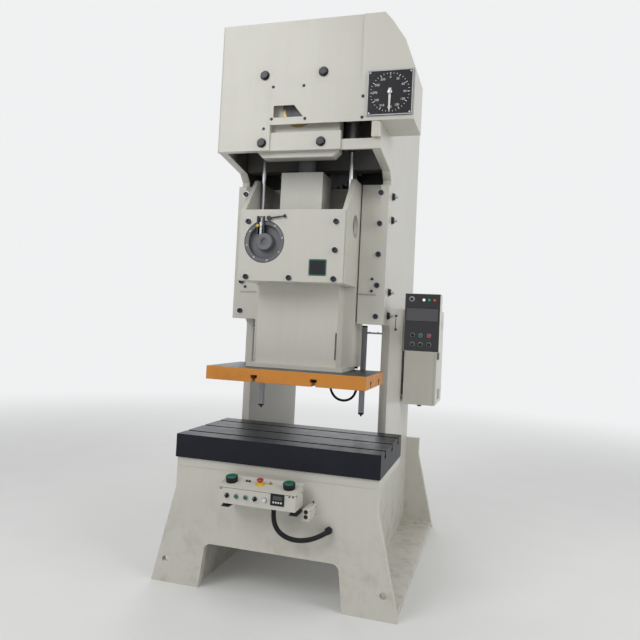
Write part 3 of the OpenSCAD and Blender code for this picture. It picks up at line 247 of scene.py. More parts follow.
def tidyMesh(mesh, smooth):
    work = bmesh.new()
    work.from_mesh(mesh)
    bmesh.ops.remove_doubles(work, verts=work.verts, dist=1e-6)
    bmesh.ops.dissolve_degenerate(work, edges=work.edges, dist=1e-7)
    bmesh.ops.recalc_face_normals(work, faces=work.faces)
    work.to_mesh(mesh)
    work.free()
    mesh.shade_smooth()
    mesh.set_sharp_from_angle(angle=math.radians(smooth))


def addBevel(piece, width):
    bevel = piece.modifiers.new("softEdges", "BEVEL")
    bevel.width = width / 1000
    bevel.segments = 2
    bevel.limit_method = "ANGLE"
    bevel.angle_limit = math.radians(32)
    bevel.use_clamp_overlap = True
    bevel.harden_normals = True


# shader maths reads as plain expressions on wrapped sockets
class Wire:
    def __init__(self, tree, socket):
        self.tree = tree
        self.socket = socket

    def maths(self, operation, first, second=None):
        node = self.tree.nodes.new("ShaderNodeMath")
        node.operation = operation
        for slot, value in zip(node.inputs, (first, second)):
            feed(self.tree, slot, value)
        return Wire(self.tree, node.outputs[0])

    def __add__(self, other):
        return self.maths("ADD", self, other)

    __radd__ = __add__

    def __mul__(self, other):
        return self.maths("MULTIPLY", self, other)

    __rmul__ = __mul__

    def __sub__(self, other):
        return self.maths("SUBTRACT", self, other)

    def __rsub__(self, other):
        return self.maths("SUBTRACT", other, self)

    def __pow__(self, other):
        return self.maths("POWER", self, other)

    def __abs__(self):
        return self.maths("ABSOLUTE", self)

    def __lt__(self, other):
        return self.maths("LESS_THAN", self, other)


def feed(tree, slot, value):
    # a value or a link goes into a socket
    if isinstance(value, Wire):
        tree.links.new(value.socket, slot)
    elif isinstance(value, (tuple, list)) and len(value) == 3 and slot.type == "RGBA":
        slot.default_value = (*value, 1)
    elif value is not None:
        slot.default_value = value


class Finish:
    # one material and the nodes that make its look
    def __init__(self, name):
        self.material = bpy.data.materials.new(name)
        self.material.use_nodes = True
        self.tree = self.material.node_tree
        self.tree.nodes.clear()

    def node(self, kind, settings=None, sockets=None, out=0):
        node = self.tree.nodes.new("ShaderNode" + kind)
        for key, value in (settings or {}).items():
            setattr(node, key, value)
        for key, value in (sockets or {}).items():
            feed(self.tree, node.inputs[key], value)
        return Wire(self.tree, node.outputs[out])

    def place(self, scale=(1, 1, 1)):
        return self.node("Mapping", {}, {"Vector": self.node("TexCoord", out="Object"), "Scale": scale})

    def noise(self, scale, detail=3.0, rough=0.5, stretch=(1, 1, 1)):
        return self.node("TexNoise", {}, {"Vector": self.place(stretch), "Scale": scale, "Detail": detail,
                                          "Roughness": rough})

    def ramp(self, value, low, high):
        return self.node("MapRange", {"interpolation_type": "SMOOTHSTEP"},
                         {"Value": value, "From Min": low, "From Max": high})

    def blend(self, mask, first, second):
        return self.node("Mix", {"data_type": "RGBA"}, {0: mask, 6: first, 7: second}, out=2)

    def mottle(self, first, second, pattern, low, high, amount):
        # the second colour shows by the amount where the pattern passes from low to high
        return self.blend(self.ramp(pattern, low, high) * amount, first, second)

    def along(self, axis, source="Object"):
        # one object coordinate in metres, or how much a face looks along the axis where source is Normal
        return self.node("SeparateXYZ", {}, {0: self.node("TexCoord", out=source)}, out=axis)

    def bump(self, value, strength, depth):
        return self.node("Bump", {}, {"Height": value, "Strength": strength, "Distance": depth})

    def end(self, shader):
        output = self.tree.nodes.new("ShaderNodeOutputMaterial")
        self.tree.links.new(shader.socket, output.inputs["Surface"])
        return self.material

    def shade(self, tone, sockets):
        return self.end(self.node("BsdfPrincipled", {}, {"Base Color": tone, **sockets}))


def darker(colour, factor):
    return [c * factor for c in colour]


# painted shade: the space inside the crown and between the side plates, and the near-black tone painted there
paintedShadeCavity = {"halfWidth": 0.5186, "front": (-0.93, -0.70), "back": 0.94, "bottom": (2.60, 2.90), "top": 3.815,
          "tone": (0.050, 0.048, 0.044)}
overlay = {"middle": (0.852, 1.8295), "half": (0.1195, 0.1970), "round": 0.003, "tone": (0.004, 0.0045, 0.006)}
enamel = (0.60, 0.585, 0.525), (0.49, 0.475, 0.42)


def paintFinish(name, colour, shade, gloss=0.34, inside=None, face=None):
    # sprayed enamel: broad unevenness, orange peel, thin dust towards the floor, and painted shade inside the
    # crown where asked
    f = Finish(name)
    broad, cloud, peel = f.noise(1.7, 4), f.noise(9, 5, 0.6), f.noise(330, 2)
    streak = f.noise(1, 4, 0.6, (26, 26, 1.4))
    grime = (1 - f.ramp(f.along("Z"), 0.0, 0.75)) * f.ramp(cloud, 0.42, 0.74) * 0.45
    tone = f.mottle(colour, shade, broad * 0.6 + streak * 0.4, 0.34, 0.68, 0.22)
    tone = f.mottle(tone, shade, cloud, 0.60, 0.80, 0.10)
    tone = f.blend(grime, tone, (0.30, 0.26, 0.20))
    rough = gloss + cloud * 0.12 + grime * 0.5
    if inside:
        # painted shade inside the crown, behind its front and between the side plates: the enamel there blends to
        # a near-black tone and grows a little rougher
        x, y, z = (f.along(axis) for axis in "XYZ")
        deep = f.ramp(y, *inside["front"]) * f.ramp(z, *inside["bottom"])
        cavityShadeMask = deep * (abs(x) < inside["halfWidth"]) * (z < inside["top"]) * (y < inside["back"])
        tone = f.blend(cavityShadeMask * (0.86 + cloud * 0.12), tone, inside["tone"])
        rough = rough + cavityShadeMask * 0.12
    if face:
        # black overlay on the front: inside a rectangle with round corners, on faces that look forward
        reach = [abs(f.along(axis) - middle) - (half - face["round"])
                 for axis, middle, half in zip("XZ", face["middle"], face["half"])]
        aside, above = (r.maths("MAXIMUM", r, 0.0) for r in reach)
        edge = (aside * aside + above * above) ** 0.5
        black = (edge < face["round"]) * (f.along("Y", "Normal") < -0.9)
        tone = f.blend(black, tone, face["tone"])
        rough = rough * (1 - black) + black * 0.20
    return f.shade(tone, {"Roughness": rough, "Coat Weight": 0.2, "Coat Roughness": 0.18,
                          "Normal": f.bump(peel + broad * 0.6, 0.10, 0.0006)})


def twoFaceFinish(name, colour, shade, bare, faceUp, gloss):
    # paint on the sides, ground and oiled steel on the faces that look up or down
    f = Finish(name)
    cloud, peel = f.noise(7, 5, 0.6), f.noise(330, 2)
    grain, lay = f.noise(1, 3, stretch=(3, 240, 240)), f.noise(1, 2, stretch=(1, 34, 1))
    level = f.along("Z", "Normal")
    worked = f.ramp(level if faceUp else abs(level), 0.85, 0.95)
    steel = f.blend(f.ramp(cloud * 0.7 + grain * 0.3, 0.35, 0.68), bare, darker(bare, 0.55))
    paint = f.mottle(colour, shade, cloud, 0.40, 0.75, 0.5)
    relief = peel * (1 - worked) + (grain * 0.6 + lay * 0.4) * worked
    return f.shade(f.blend(worked, paint, steel), {
        "Metallic": worked * 0.85, "Roughness": 0.36 + cloud * 0.12 + worked * (grain * 0.16 - 0.06),
        "Specular IOR Level": gloss, "Normal": f.bump(relief, 0.14, 0.0005)})


def machinedFinish(name, colour, rough=0.30, stretch=(60, 4, 60), film=0.35):
    # turned or ground steel with fine lay lines and an oil film
    f = Finish(name)
    grain, cloud = f.noise(3, 4, stretch=stretch), f.noise(11, 5, 0.6)
    return f.shade(f.mottle(colour, darker(colour, 0.45), cloud, 0.40, 0.72, film), {
        "Metallic": 0.92, "Roughness": rough + grain * 0.14 + cloud * 0.10, "Normal": f.bump(grain, 0.12, 0.0004)})


def castFinish(name, colour):
    # sand-cast iron with a grainy skin
    f = Finish(name)
    skin, cloud = f.noise(160, 5, 0.65), f.noise(6, 5, 0.6)
    return f.shade(f.mottle(colour, darker(colour, 0.5), cloud, 0.35, 0.75, 0.6), {
        "Metallic": 0.55, "Roughness": 0.55 + cloud * 0.18, "Normal": f.bump(skin, 0.35, 0.001)})


def plasticFinish(name, colour, rough=0.35, coat=0.0, gloss=0.35, pebble=0.0):
    # moulded plastic with a faint pebble grain and handling marks
    f = Finish(name)
    grain, marks = f.noise(900, 2), f.noise(1, 5, 0.6, (30, 30, 90))
    worn = [min(1, c * 1.6 + 0.01) for c in colour]
    return f.shade(f.mottle(colour, worn, marks, 0.52, 0.80, 0.35), {
        "Roughness": rough + marks * 0.16, "Specular IOR Level": gloss, "Coat Weight": coat,
        "Normal": f.bump(grain, 0.05 + pebble, 0.0004)})


def rubberFinish(name, colour):
    # black rubber, dull, with dust in its pores
    f = Finish(name)
    pores, dust = f.noise(420, 4, 0.6), f.noise(14, 5, 0.6)
    return f.shade(f.mottle(colour, (0.06, 0.058, 0.055), dust, 0.5, 0.85, 0.4), {
        "Roughness": 0.62 + dust * 0.2, "Specular IOR Level": 0.25, "Normal": f.bump(pores, 0.2, 0.0005)})


def lampFinish(name, colour, glow):
    f = Finish(name)
    rings = f.noise(260, 2)
    return f.shade(f.mottle(colour, darker(colour, 0.6), rings, 0.4, 0.7, 0.3), {
        "Roughness": 0.18 + rings * 0.08, "Emission Color": colour, "Emission Strength": glow})


# linear colours, then roughness and what else the maker of the finish takes
finishes = {
    # the press's enamel carries painted shade inside the crown
    "paint": paintFinish("pressEnamel", *enamel, inside=paintedShadeCavity),
    "panelCase": paintFinish("panelEnamel", *enamel, face=overlay),
    "motorPaint": paintFinish("motorEnamel", (0.52, 0.515, 0.475), (0.40, 0.395, 0.36), 0.42),
    # painted shade: near-black enamel for the gear wall, standing for the shade deep inside the crown
    "paintedShadeWall": paintFinish("paintedShadeWallEnamel", (0.085, 0.082, 0.078), (0.045, 0.043, 0.041), 0.52),
    "bolster": twoFaceFinish("bolsterSteel", (0.0064, 0.008, 0.0136), (0.014, 0.016, 0.023),
                             (0.075, 0.080, 0.092), True, 0.22),
    "orange": twoFaceFinish("slideOrange", (0.60, 0.235, 0.035), (0.44, 0.155, 0.02),
                            (0.10, 0.10, 0.105), False, 0.4),
    "steel": machinedFinish("machinedSteel", (0.52, 0.53, 0.55)),
    "turned": machinedFinish("turnedSteel", (0.52, 0.53, 0.55), 0.22, (90, 90, 6), 0.2),
    "bronze": machinedFinish("bronze", (0.42, 0.28, 0.12), 0.30, (60, 60, 6), 0.4),
    "grey": machinedFinish("anodised", (0.35, 0.36, 0.38), 0.42, (60, 60, 3), 0.2),
    "iron": castFinish("castIron", (0.17, 0.175, 0.185)),
    "rubber": rubberFinish("beltRubber", (0.014, 0.014, 0.016)),
    "hose": rubberFinish("hoseRubber", (0.013, 0.013, 0.016)),
    "oxide": plasticFinish("blackOxide", (0.012, 0.013, 0.018), 0.30, 0.0, 0.5),
    "black": plasticFinish("blackPlastic", (0.010, 0.011, 0.013), 0.42, 0.0, 0.25, 0.06),
    "gloss": plasticFinish("glossBlack", (0.008, 0.008, 0.012), 0.14, 0.2, 0.3),
    "screen": plasticFinish("screenGlass", (0.062, 0.060, 0.068), 0.10, 0.4),
    "green": plasticFinish("greenCap", (0.012, 0.125, 0.080), 0.28, 0.3),
    "red": plasticFinish("redCap", (0.42, 0.025, 0.030), 0.26, 0.3),
    "yellow": plasticFinish("yellowPlastic", (0.72, 0.50, 0.035), 0.38),
    "white": plasticFinish("whitePlastic", (0.74, 0.74, 0.71), 0.40),
    "lampWhite": lampFinish("lampWhite", (0.85, 0.85, 0.82), 0.35),
    "lampGreen": lampFinish("lampGreen", (0.02, 0.30, 0.18), 0.10),
    "lampRed": lampFinish("lampRed", (0.55, 0.05, 0.04), 0.15),
}
print("finishes made:", len(finishes))


# the two hoses, on the routes of their CAD tubes
hoses = [
    {
        "name": "controlHose", "node": "control_hose", "body": "frame", "radius": 15, "ripple": 0.03, "pitch": 7,
        "route": [(60, -1175, 613), (60, -1175, 585), (63, -1174, 555), (71, -1172, 525), (86, -1168, 497),
                  (108, -1164, 474), (136, -1159, 457), (168, -1153, 446), (202, -1147, 441), (236, -1141, 441),
                  (269, -1135, 446), (300, -1129, 455), (328, -1122, 466), (352, -1116, 478), (371, -1109, 489),
                  (384, -1101, 496), (388, -1091, 498), (388, -1080, 498)],
    },
    {
        "name": "slideHose", "node": "slide_hose", "body": "slide", "radius": 9, "ripple": 0.02, "pitch": 5,
        "route": [(x, -335, z) for x, z in (
            (160, 1406), (160, 1380), (161, 1350), (165, 1320), (173, 1292), (186, 1268), (204, 1248), (227, 1234),
            (253, 1227), (280, 1227), (305, 1234), (327, 1247), (345, 1267), (357, 1292), (365, 1320), (369, 1350),
            (370, 1380), (370, 1406))],
    },
]


def makeHose(hose):
    route = smoothPath(hose["route"], 420)
    tube = swept(route, hose["radius"], 18, hose["ripple"], hose["pitch"])
    piece = makePiece(hose["name"], [tube], "hose", hose["body"], node=hose["node"])
    2 * hose["radius"] / 1000


for hose in hoses:
    makeHose(hose)
print("hoses made")


# the CAD nodes: painted plates get soft edges in a merged copy, the rest keep their mesh
def softCopy(nodeName, width, finish):
    source = nodes[nodeName]
    mesh = source.data.copy()
    mesh.name = nodeName + "Soft"
    work = bmesh.new()
    work.from_mesh(mesh)
    bmesh.ops.remove_doubles(work, verts=work.verts, dist=2e-6)
    bmesh.ops.dissolve_limit(work, angle_limit=math.radians(0.6), verts=work.verts, edges=work.edges)
    work.to_mesh(mesh)
    work.free()
    piece = bpy.data.objects.new(nodeName + "_soft", mesh)
    bpy.context.scene.collection.objects.link(piece)
    mesh.materials.clear()
    mesh.materials.append(finishes[finish])
    mesh.shade_smooth()
    mesh.set_sharp_from_angle(angle=math.radians(30))
    addBevel(piece, width)
    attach(piece, source["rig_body"])
    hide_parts(nodeName)


softPlates = [
    ("paint", 3, "left_side_plate right_side_plate crown_front_plate crown_top_plate bed_plate base_front_plate "
                 "base_rear_plate foot_plates rear_wall bearing_blocks gibs slide_body slide_front_cover"),
    ("paint", 1.5, "front_cover belt_guard cabinet cabinet_door panel_arm motor_base control_box"),
    # the gear wall takes the near-black painted shade
    ("paintedShadeWall", 3, "gear_wall"),
    ("bolster", 2, "bolster"),
    ("orange", 2.5, "slide_plate"),
]
for finish, width, names in softPlates:
    for nodeName in names.split():
        softCopy(nodeName, width, finish)
print("soft plates made")

nodeFinish = {
    "steel": "balancer_cylinders",
    "turned": "pinion_shaft balancer_rods motor_pulley",
    "iron": "crankshaft connecting_rod main_gear flywheel clutch_unit adjuster_case",
    "bronze": "shaft_bushes",
    "rubber": "drive_belts",
    "hose": "control_hose slide_hose",
    "oxide": "frame_bolts slide_bolts adjuster_lever",
    "black": "control_brackets operator_panel mode_knob jog_knob panel_knob_left panel_knob_middle",
    "gloss": "dial_face",
    "white": "dial_pointer reset_button",
    "green": "palm_button_left palm_button_right run_button_left run_button_right panel_button_green",
    "red": "stop_button panel_button_red",
    "grey": "light_bars panel_button_grey",
    "paint": "motor air_tank",
}
for finish, names in nodeFinish.items():
    for nodeName in names.split():
        nodes[nodeName].data.materials.clear()
        nodes[nodeName].data.materials.append(finishes[finish])
print("CAD nodes finished")


def hexHead(flats, height):
    # chamfered hexagon on a round washer
    r, w = flats / 2, flats * 0.09
    return spun([(r * 1.30, 0), (r * 1.34, 1), (r * 1.34, w - 1), (r * 1.30, w), (r * 0.99, w, 1),
                 (r, w + 1, 1), (r, height * 0.80, 1), (r * 0.97, height * 0.92), (r * 0.90, height)], 36)


def capHead(r, height, ring=1.25):
    # cylinder head with a hexagon socket, on a thin seat
    s = r * 0.48
    return spun([(r * ring, 0), (r * ring, 1.2), (r, 1.4), (r, height - 1.8), (r - 1.8, height),
                 (s * 1.22, height), (s, height - 1.4, 1), (s, height * 0.35, 1), (0, height * 0.35)], 36)


def studPart(radius, low, high, pitch):
    # thread: the radius runs up and down once every pitch
    turns = int((high - low) / pitch * 2)
    rows = [(radius - (k % 2) * pitch * 0.45, low + (high - low) * k / turns) for k in range(turns + 1)]
    return spun([(0, low), *rows, (radius * 0.82, high + pitch * 0.5), (0, high + pitch * 0.5)], 20)


def ringPart(inner, outer, height, lip=0.6):
    # flat ring with broken edges; its profile closes on itself
    return spun([(inner, 0), (outer - lip, 0), (outer, lip), (outer, height - lip), (outer - lip, height),
                 (inner + lip, height), (inner, height - lip), (inner, 0)])


def fasten(name, parts, finish="oxide", body="frame", **more):
    # screws and bolts: every edge over 28 degrees is sharp
    makePiece(name, parts, finish, body, **{"smooth": 28, **more})


def seatedScrews(name, seats, places, body, node):
    # cover screws, each on a bright ring
    fasten(name, spread(capHead(19, 14, 1), places), body=body, node=node)
    makePiece(seats, spread(ringPart(19.2, 25.5, 1.2, 0.3), places), "steel", body, node=node, slot="dark_steel")


def fourWays(x, y):
    # the corners of a rectangle round the middle
    return [(sx * x, sy * y) for sx in (-1, 1) for sy in (-1, 1)]


def circlePlaces(centre, radius, angles, flat="Y"):
    # places round a centre, in the plane square to the flat axis
    x, y, z = centre
    turns = [(radius * math.cos(t), radius * math.sin(t)) for t in angles]
    return [(x + u, y, z + v) if flat == "Y" else (x + u, y + v, z) for u, v in turns]


bolting = {
    "crown": [(-245, -945, 3474), (174, -945, 3474), (-245, -945, 3005), (174, -933, 3005)],
    "gibs": [(s * 519, -525, 1858 + k * 221) for s in (-1, 1) for k in range(5)],
    "nuts": [((s * 578, -370, z), (s, 0, 0)) for s in (-1, 1) for z in (1869, 2040, 2568, 2742)],
    "slide": [(x, -944, z) for x, z in ((310, 2464), (310, 2275), (310, 2084), (0, 2084), (-310, 2084),
                                        (-310, 2464))],
    "small": [(-178, -951, 3388), (42, -951, 3385), (-180, -951, 3166), (60, -951, 3160), (452.6, -951, 3290),
              (452.6, -951, 3150), (-235.5, -945, 3103)],
    "top": [(x, y, 3842) for x in (-545, 545) for y in (-800, -550, -300, 300, 550, 780)],
}
fasten("crownBolts", spread(hexHead(50, 22), bolting["crown"]), node="frame_bolts")
seatedScrews("gibScrews", "gibScrewSeats", bolting["gibs"], "frame", "frame_bolts")
fasten("adjustingNuts", [at(hexHead(46, 20), *spot) for spot in bolting["nuts"]], node="frame_bolts")
makePiece("adjustingStuds", [at(studPart(12, 18, 40, 1.75), *spot) for spot in bolting["nuts"]], "turned",
          node="frame_bolts")
seatedScrews("slideCoverScrews", "slideScrewSeats", bolting["slide"], "slide", "slide_bolts")
fasten("crownSmallScrews", spread(capHead(8.5, 6), bolting["small"]))
fasten("crownTopScrews", spread(capHead(14, 12, 1.3), bolting["top"], up))
print("fasteners made")

# crank angle dial
dial = {"x": 630.5, "y": -959, "z": 3303, "half": 149, "rim": 7, "proud": 2.2, "depth": 6, "ring": 130,
        "textRing": 98, "text": 21, "step": 10, "numberStep": 30, "screwInset": 16}


def dialFront(u, v, lift=0.0):
    return dial["x"] + u, dial["y"] - lift, dial["z"] + v


def numberPart(text, size, place):
    # digits made a mesh, upright, facing the front
    curve = bpy.data.curves.new("digits", "FONT")
    curve.body, curve.size, curve.extrude = text, size / 1000, 0.0003
    curve.align_x, curve.align_y = "CENTER", "CENTER"
    curve.resolution_u = 3
    holder = bpy.data.objects.new("digits", curve)
    mesh = bpy.data.meshes.new_from_object(holder)
    points = np.array([v.co[:] for v in mesh.vertices]) * 1000
    faces = [list(p.vertices) for p in mesh.polygons]
    bpy.data.objects.remove(holder)
    bpy.data.meshes.remove(mesh)
    return np.stack([points[:, 0], -points[:, 2], points[:, 1]], -1) + np.array(place), faces


def dialTick(a, width, length):
    # thin bar on the ring, pointing to the middle: the angle runs clockwise from the top
    away, along = np.array([math.sin(a), math.cos(a)]), np.array([math.cos(a), -math.sin(a)]) * width / 2
    tip, root = away * dial["ring"], away * (dial["ring"] - length)
    corners = np.array([root - along, root + along, tip + along, tip - along]) + (dial["x"], dial["z"])
    return prism(corners, dial["y"] - 0.6, dial["y"] + 0.2)


h, corner = dial["half"], dial["half"] - dial["screwInset"]
makePiece("dialRim", borderParts(dialFront(-h, -h, dial["proud"]), dialFront(h, h, -dial["depth"]), dial["rim"]),
          "grey", bevel=0.8, slot="black_plastic")
marks, numbers = [], []
for degrees in range(0, 360, dial["step"]):
    a = math.radians(degrees)
    numbered = degrees % dial["numberStep"] == 0
    marks.append(dialTick(a, 4, 16) if numbered else dialTick(a, 2.6, 9))
    if numbered:
        place = dialFront(math.sin(a) * dial["textRing"], math.cos(a) * dial["textRing"], 0.4)
        numbers.append(numberPart(str(degrees), dial["text"], place))
makePiece("dialMarks", marks + numbers, "white")
fasten("dialScrews", spread(capHead(4, 3, 1.4), [dialFront(u, v) for u, v in fourWays(corner, corner)]), "steel",
       slot="dark_steel")
makePiece("dialHub", [at(spun([(16, 0), (16, 4), (14, 6.5), (6, 8.5), (0, 9)]), dialFront(0, 0, 6))],
          "turned", "pointer", slot="steel")
print("dial made")

# slide: adjuster, lever, plate, scale and lubrication
adjuster = {
    "centre": (-190, -905, 2326),
    "case": [(143, -135), (143, 31), (140, 34), (119, 34), (115, 30), (113, 3), (108, 0), (66, 0), (62, 4),
             (60, 36), (55, 45), (30, 45), (28, 41, 1), (20, 41, 1), (20, 30, 1)],
    "bolts": 8, "boltRing": 129, "boltCentre": (-190, -939, 2326),
    "columnFoot": (-220.5, -930, 2341),
    "column": [(17, 0), (17, 30), (13.6, 34), (13.6, 86), (17, 90), (17, 118), (10.54, 122), (10.54, 128, 1),
               (10.54, 150, 1), (8.5, 153)],
    "cheeks": [((x, -949, 2380), (x + 9, -902, 2496)) for x in (-247.8, -201.2)],
    "glassFoot": (-240, -949, 2435),
    "glass": [(10, 0), (10, 3), (8.5, 4.5), (7, 4.5), (6.6, 3.6), (0, 4.2)],
}
onCase = {"body": "slide", "node": "adjuster_case"}
makePiece("adjusterCase", [at(spun(adjuster["case"], 72), adjuster["centre"])], "iron", smooth=30, **onCase)
angles = np.arange(adjuster["bolts"]) * 2 * math.pi / adjuster["bolts"] + 0.2
bolts = circlePlaces(adjuster["boltCentre"], adjuster["boltRing"], angles)
fasten("adjusterBolts", spread(capHead(6.2, 6, 1.1), bolts), "steel", slot="dark_steel", **onCase)
makePiece("adjusterColumn", [at(spun(adjuster["column"], 36), adjuster["columnFoot"], up)], "turned", smooth=30,
          **onCase)
makePiece("adjusterCheeks", [barPart(*ends) for ends in adjuster["cheeks"]], "oxide", bevel=1.5, **onCase)
makePiece("adjusterSightGlass", [at(spun(adjuster["glass"], 32), adjuster["glassFoot"])], "yellow", "slide")

lever = {"pivot": (-158, -965, 2484), "tilt": math.radians(8), "length": 113, "ball": 11}
ball = [(lever["ball"] * math.cos(t), lever["length"] + lever["ball"] * math.sin(t))
        for t in np.linspace(-0.42 * math.pi, 0.5 * math.pi, 12)]
rod = spun([(0, 0), (5.8, 2), (5.6, 30), (4.4, 100), *ball], 28)
boss = spun([(15, 0), (16, 1.2), (16, 18.8), (15, 20), (9.5, 20), (9.5, 21.5), (8.5, 22.5)], 36)
aim = (math.cos(lever["tilt"]), 0, math.sin(lever["tilt"]))
pivot = np.array(lever["pivot"], float)
makePiece("lockingLever", [at(rod, pivot + (0, 8, 0), aim), at(boss, pivot + (0, 20.2, 0))], "oxide", "lever",
          smooth=35, node="adjuster_lever")

# y of each face, from the back to the front
blankPlate = {"low": (136, 2102), "high": (259, 2213), "border": 9, "rivet": 4.5,
              "y": (-944, -945.2, -945.3, -946.1)}
(x0, z0), (x1, z1) = blankPlate["low"], blankPlate["high"]
b, v = blankPlate["border"], blankPlate["rivet"]
seatY, faceBack, edgeY, faceY = blankPlate["y"]
makePiece("blankPlateEdge", [barPart((x0, edgeY, z0), (x1, seatY, z1))], "green", "slide", bevel=0.5)
makePiece("blankPlateFace", [barPart((x0 + b, faceY, z0 + b), (x1 - b, faceBack, z1 - b))], "gloss", "slide",
          bevel=0.4)
makePiece("blankPlateRivets", spread(spun([(3, 0), (2.6, 1.2), (1.2, 2), (0, 2.1)], 16), [
    (x, faceBack, z) for x in (x0 + v, x1 - v) for z in (z0 + v, z1 - v)]), "steel", "slide")

heightScale = {"x": (283.5, 294.5), "z": (1543, 1729), "y": (-721.6, -719.9), "marked": (1546, 1726, 37),
               "short": 6.5, "long": 9.5, "inset": 0.8, "half": 0.4, "markY": (-722.2, -721.4),
               "pointer": [(282.5, 1752), (295.5, 1752), (295.5, 1742), (289, 1732), (282.5, 1742)],
               "pointerY": (-722.8, -719.8)}
(x0, x1), (y0, y1), (z0, z1) = (heightScale[key] for key in "xyz")
(markFront, markBack), half = heightScale["markY"], heightScale["half"]
marks = [barPart((x1 - heightScale["short" if k % 5 else "long"], markFront, z - half),
                 (x1 - heightScale["inset"], markBack, z + half))
         for k, z in enumerate(np.linspace(*heightScale["marked"]))]
makePiece("heightScale", [barPart((x0, y0, z0), (x1, y1, z1))], "oxide", "slide", bevel=0.4)
makePiece("heightMarks", marks, "white", "slide")
makePiece("heightPointer", [prism(heightScale["pointer"], *heightScale["pointerY"])], "steel", "slide", bevel=0.4)

greasing = {
    "pipes": [((372, -529.5, 2013), (505, -529.5, 2010.5)), ((-376, -529.5, 2005.5), (-514, -529.5, 2001))],
    "nipples": [(483, -525, 2123), (483, -525, 2037), (-494, -525, 2085), (-487, -525, 2040)],
    "nipple": [(9.5, 0, 1), (9.5, 6, 1), (5.5, 6.5), (4.5, 10), (5.5, 13), (4, 16), (0, 16.5)],
}
pipes = []
for start, end in greasing["pipes"]:
    bend = (end[0] + math.copysign(8, end[0]), -528.5, end[2])
    tip = (bend[0] + math.copysign(1, end[0]), -520, end[2])
    pipes.append(swept(smoothPath([start, (np.array(start) + end) / 2, end, bend, tip], 60), 3))
makePiece("greasePipes", pipes, "grey")
makePiece("greaseNipples", spread(spun(greasing["nipple"], 24), greasing["nipples"]), "oxide", smooth=30)

connector = {"low": (287, -360, 1463), "high": (347, -328, 1493), "stud": (347, -344, 1477)}
makePiece("plateConnector", [roundedBox(connector["low"], connector["high"], 6),
                             at(studPart(8.5, 0, 22, 1.5), connector["stud"], right)], "black", "slide")
print("slide details made")

# two-hand control box
desk = {"x": (-281.5, 225.5), "y": (-1265, -1110), "top": 746, "row": 694.5, "columns": (-221, -159, -97, -35, 27),
        "palms": (-226, 158), "stop": -34, "rise": 36, "lip": 2.2, "lid": 5.5,
        "frontScrews": [(x, -1265, 732) for x in (-265.5, 186, 209.5)],
        "sideScrews": [(225.5, y, 734) for y in (-1240, -1135)]}
(deskLeft, deskRight), (deskFront, deskBack) = desk["x"], desk["y"]
lidTilt = math.atan2(desk["rise"], deskBack - deskFront)


def onLid(part, x, run=0.0, lift=0.0):
    # stands a part on the sloping lid: run goes up the slope from its middle, lift along its normal
    points = part[0] + np.array((x, run, lift))
    c, s = math.cos(lidTilt), math.sin(lidTilt)
    y, z = points[:, 1] * c - points[:, 2] * s, points[:, 1] * s + points[:, 2] * c
    middle, height = (deskFront + deskBack) / 2, desk["top"] + desk["rise"] / 2
    return np.stack([points[:, 0], y + middle, z + height], -1), part[1]


def lidStrip(x0, x1, y0, y1, down, up):
    # strip along the lid's edge, its under and upper side parallel to the lid
    z0, z1 = (desk["top"] + (y - deskFront) * math.tan(lidTilt) for y in (y0, y1))
    return prism([(y0, z0 + down), (y1, z1 + down), (y1, z1 + up), (y0, z0 + up)], x0, x1, "X")


def lidRing(lip, down, up, inner=1.2):
    x0, x1, y0, y1 = deskLeft - lip, deskRight + lip, deskFront + inner, deskBack - inner
    spans = [(x0, x1, deskFront - lip, y0), (x0, x1, y1, deskBack + lip), (x0, deskLeft + inner, y0, y1),
             (deskRight - inner, x1, y0, y1)]
    return [lidStrip(*span, down, up) for span in spans]


makePiece("deskLidRim", lidRing(desk["lip"], 1.2 - desk["lid"], 1.2), "paint", bevel=0.8)
# black rubber strip under the lid's lip: a seal, and painted shade for the dark gap under the overhanging lip
makePiece("deskLidShadeSeal", lidRing(0.6, -1.5 - desk["lid"], 1.4 - desk["lid"]), "rubber")
screw = capHead(3.5, 2.2, 1.5)
fasten("deskScrews", spread(screw, desk["frontScrews"]) + spread(screw, desk["sideScrews"], right))


def bezelPart(inner, outer, height):
    # ring round a button: a flat foot, a rounded crown and a bore
    wall = outer - inner
    return spun([(inner, 0), (outer, 0), (outer, height * 0.35), (outer - wall * 0.35, height * 0.85),
                 (outer - wall * 0.6, height), (inner + 0.3, height), (inner, height * 0.9), (inner, 0)])


def upright(part, place):
    # a part drawn with +Z towards the operator and +Y up, stood at its place on a front
    points, faces = part
    return np.stack([points[:, 0], -points[:, 2], points[:, 1]], -1) + np.array(place), faces


def stemPart(low, high):
    return spun([(0, low), (6.6, low), (6.6, high)], 20)


push = {
    "bezel": bezelPart(12.4, 15.8, 8.5), "lift": 4.8, "stem": stemPart(-18, 5.2),
    "cap": spun([(11.4, 0), (11.8, 0.6), (11.8, 6.6), (11.4, 7.4), (10.4, 7.8), (8.26, 7.32), (4.13, 6.72),
                 (0, 6.6)]),
}
r, w = 13.2, 4.1
knob = {
    "bezel": bezelPart(13.6, 16.5, 4), "stem": stemPart(-16, 2),
    "skirt": spun([(0, 1.2), (r, 1.2), (r, 10.5), (r * 0.965, 13), (r * 0.93, 13.7)]),
    "grip": prism([(-w, -r * 0.975), (w, -r * 0.975), (w * 1.15, 0), (w * 0.95, r * 0.975),
                   (-w * 0.95, r * 0.975), (-w * 1.15, 0)], 12.5, 22.6, "Z"),
    "mark": prism([(-0.8, r * 0.35), (0.8, r * 0.35), (0.8, r * 0.93), (-0.8, r * 0.93)], 22.4, 22.9, "Z"),
}
deskButtons = [("mode_knob", None), ("run_button_left", "green"), ("run_button_right", "green"),
               ("jog_knob", None), ("reset_button", "white")]
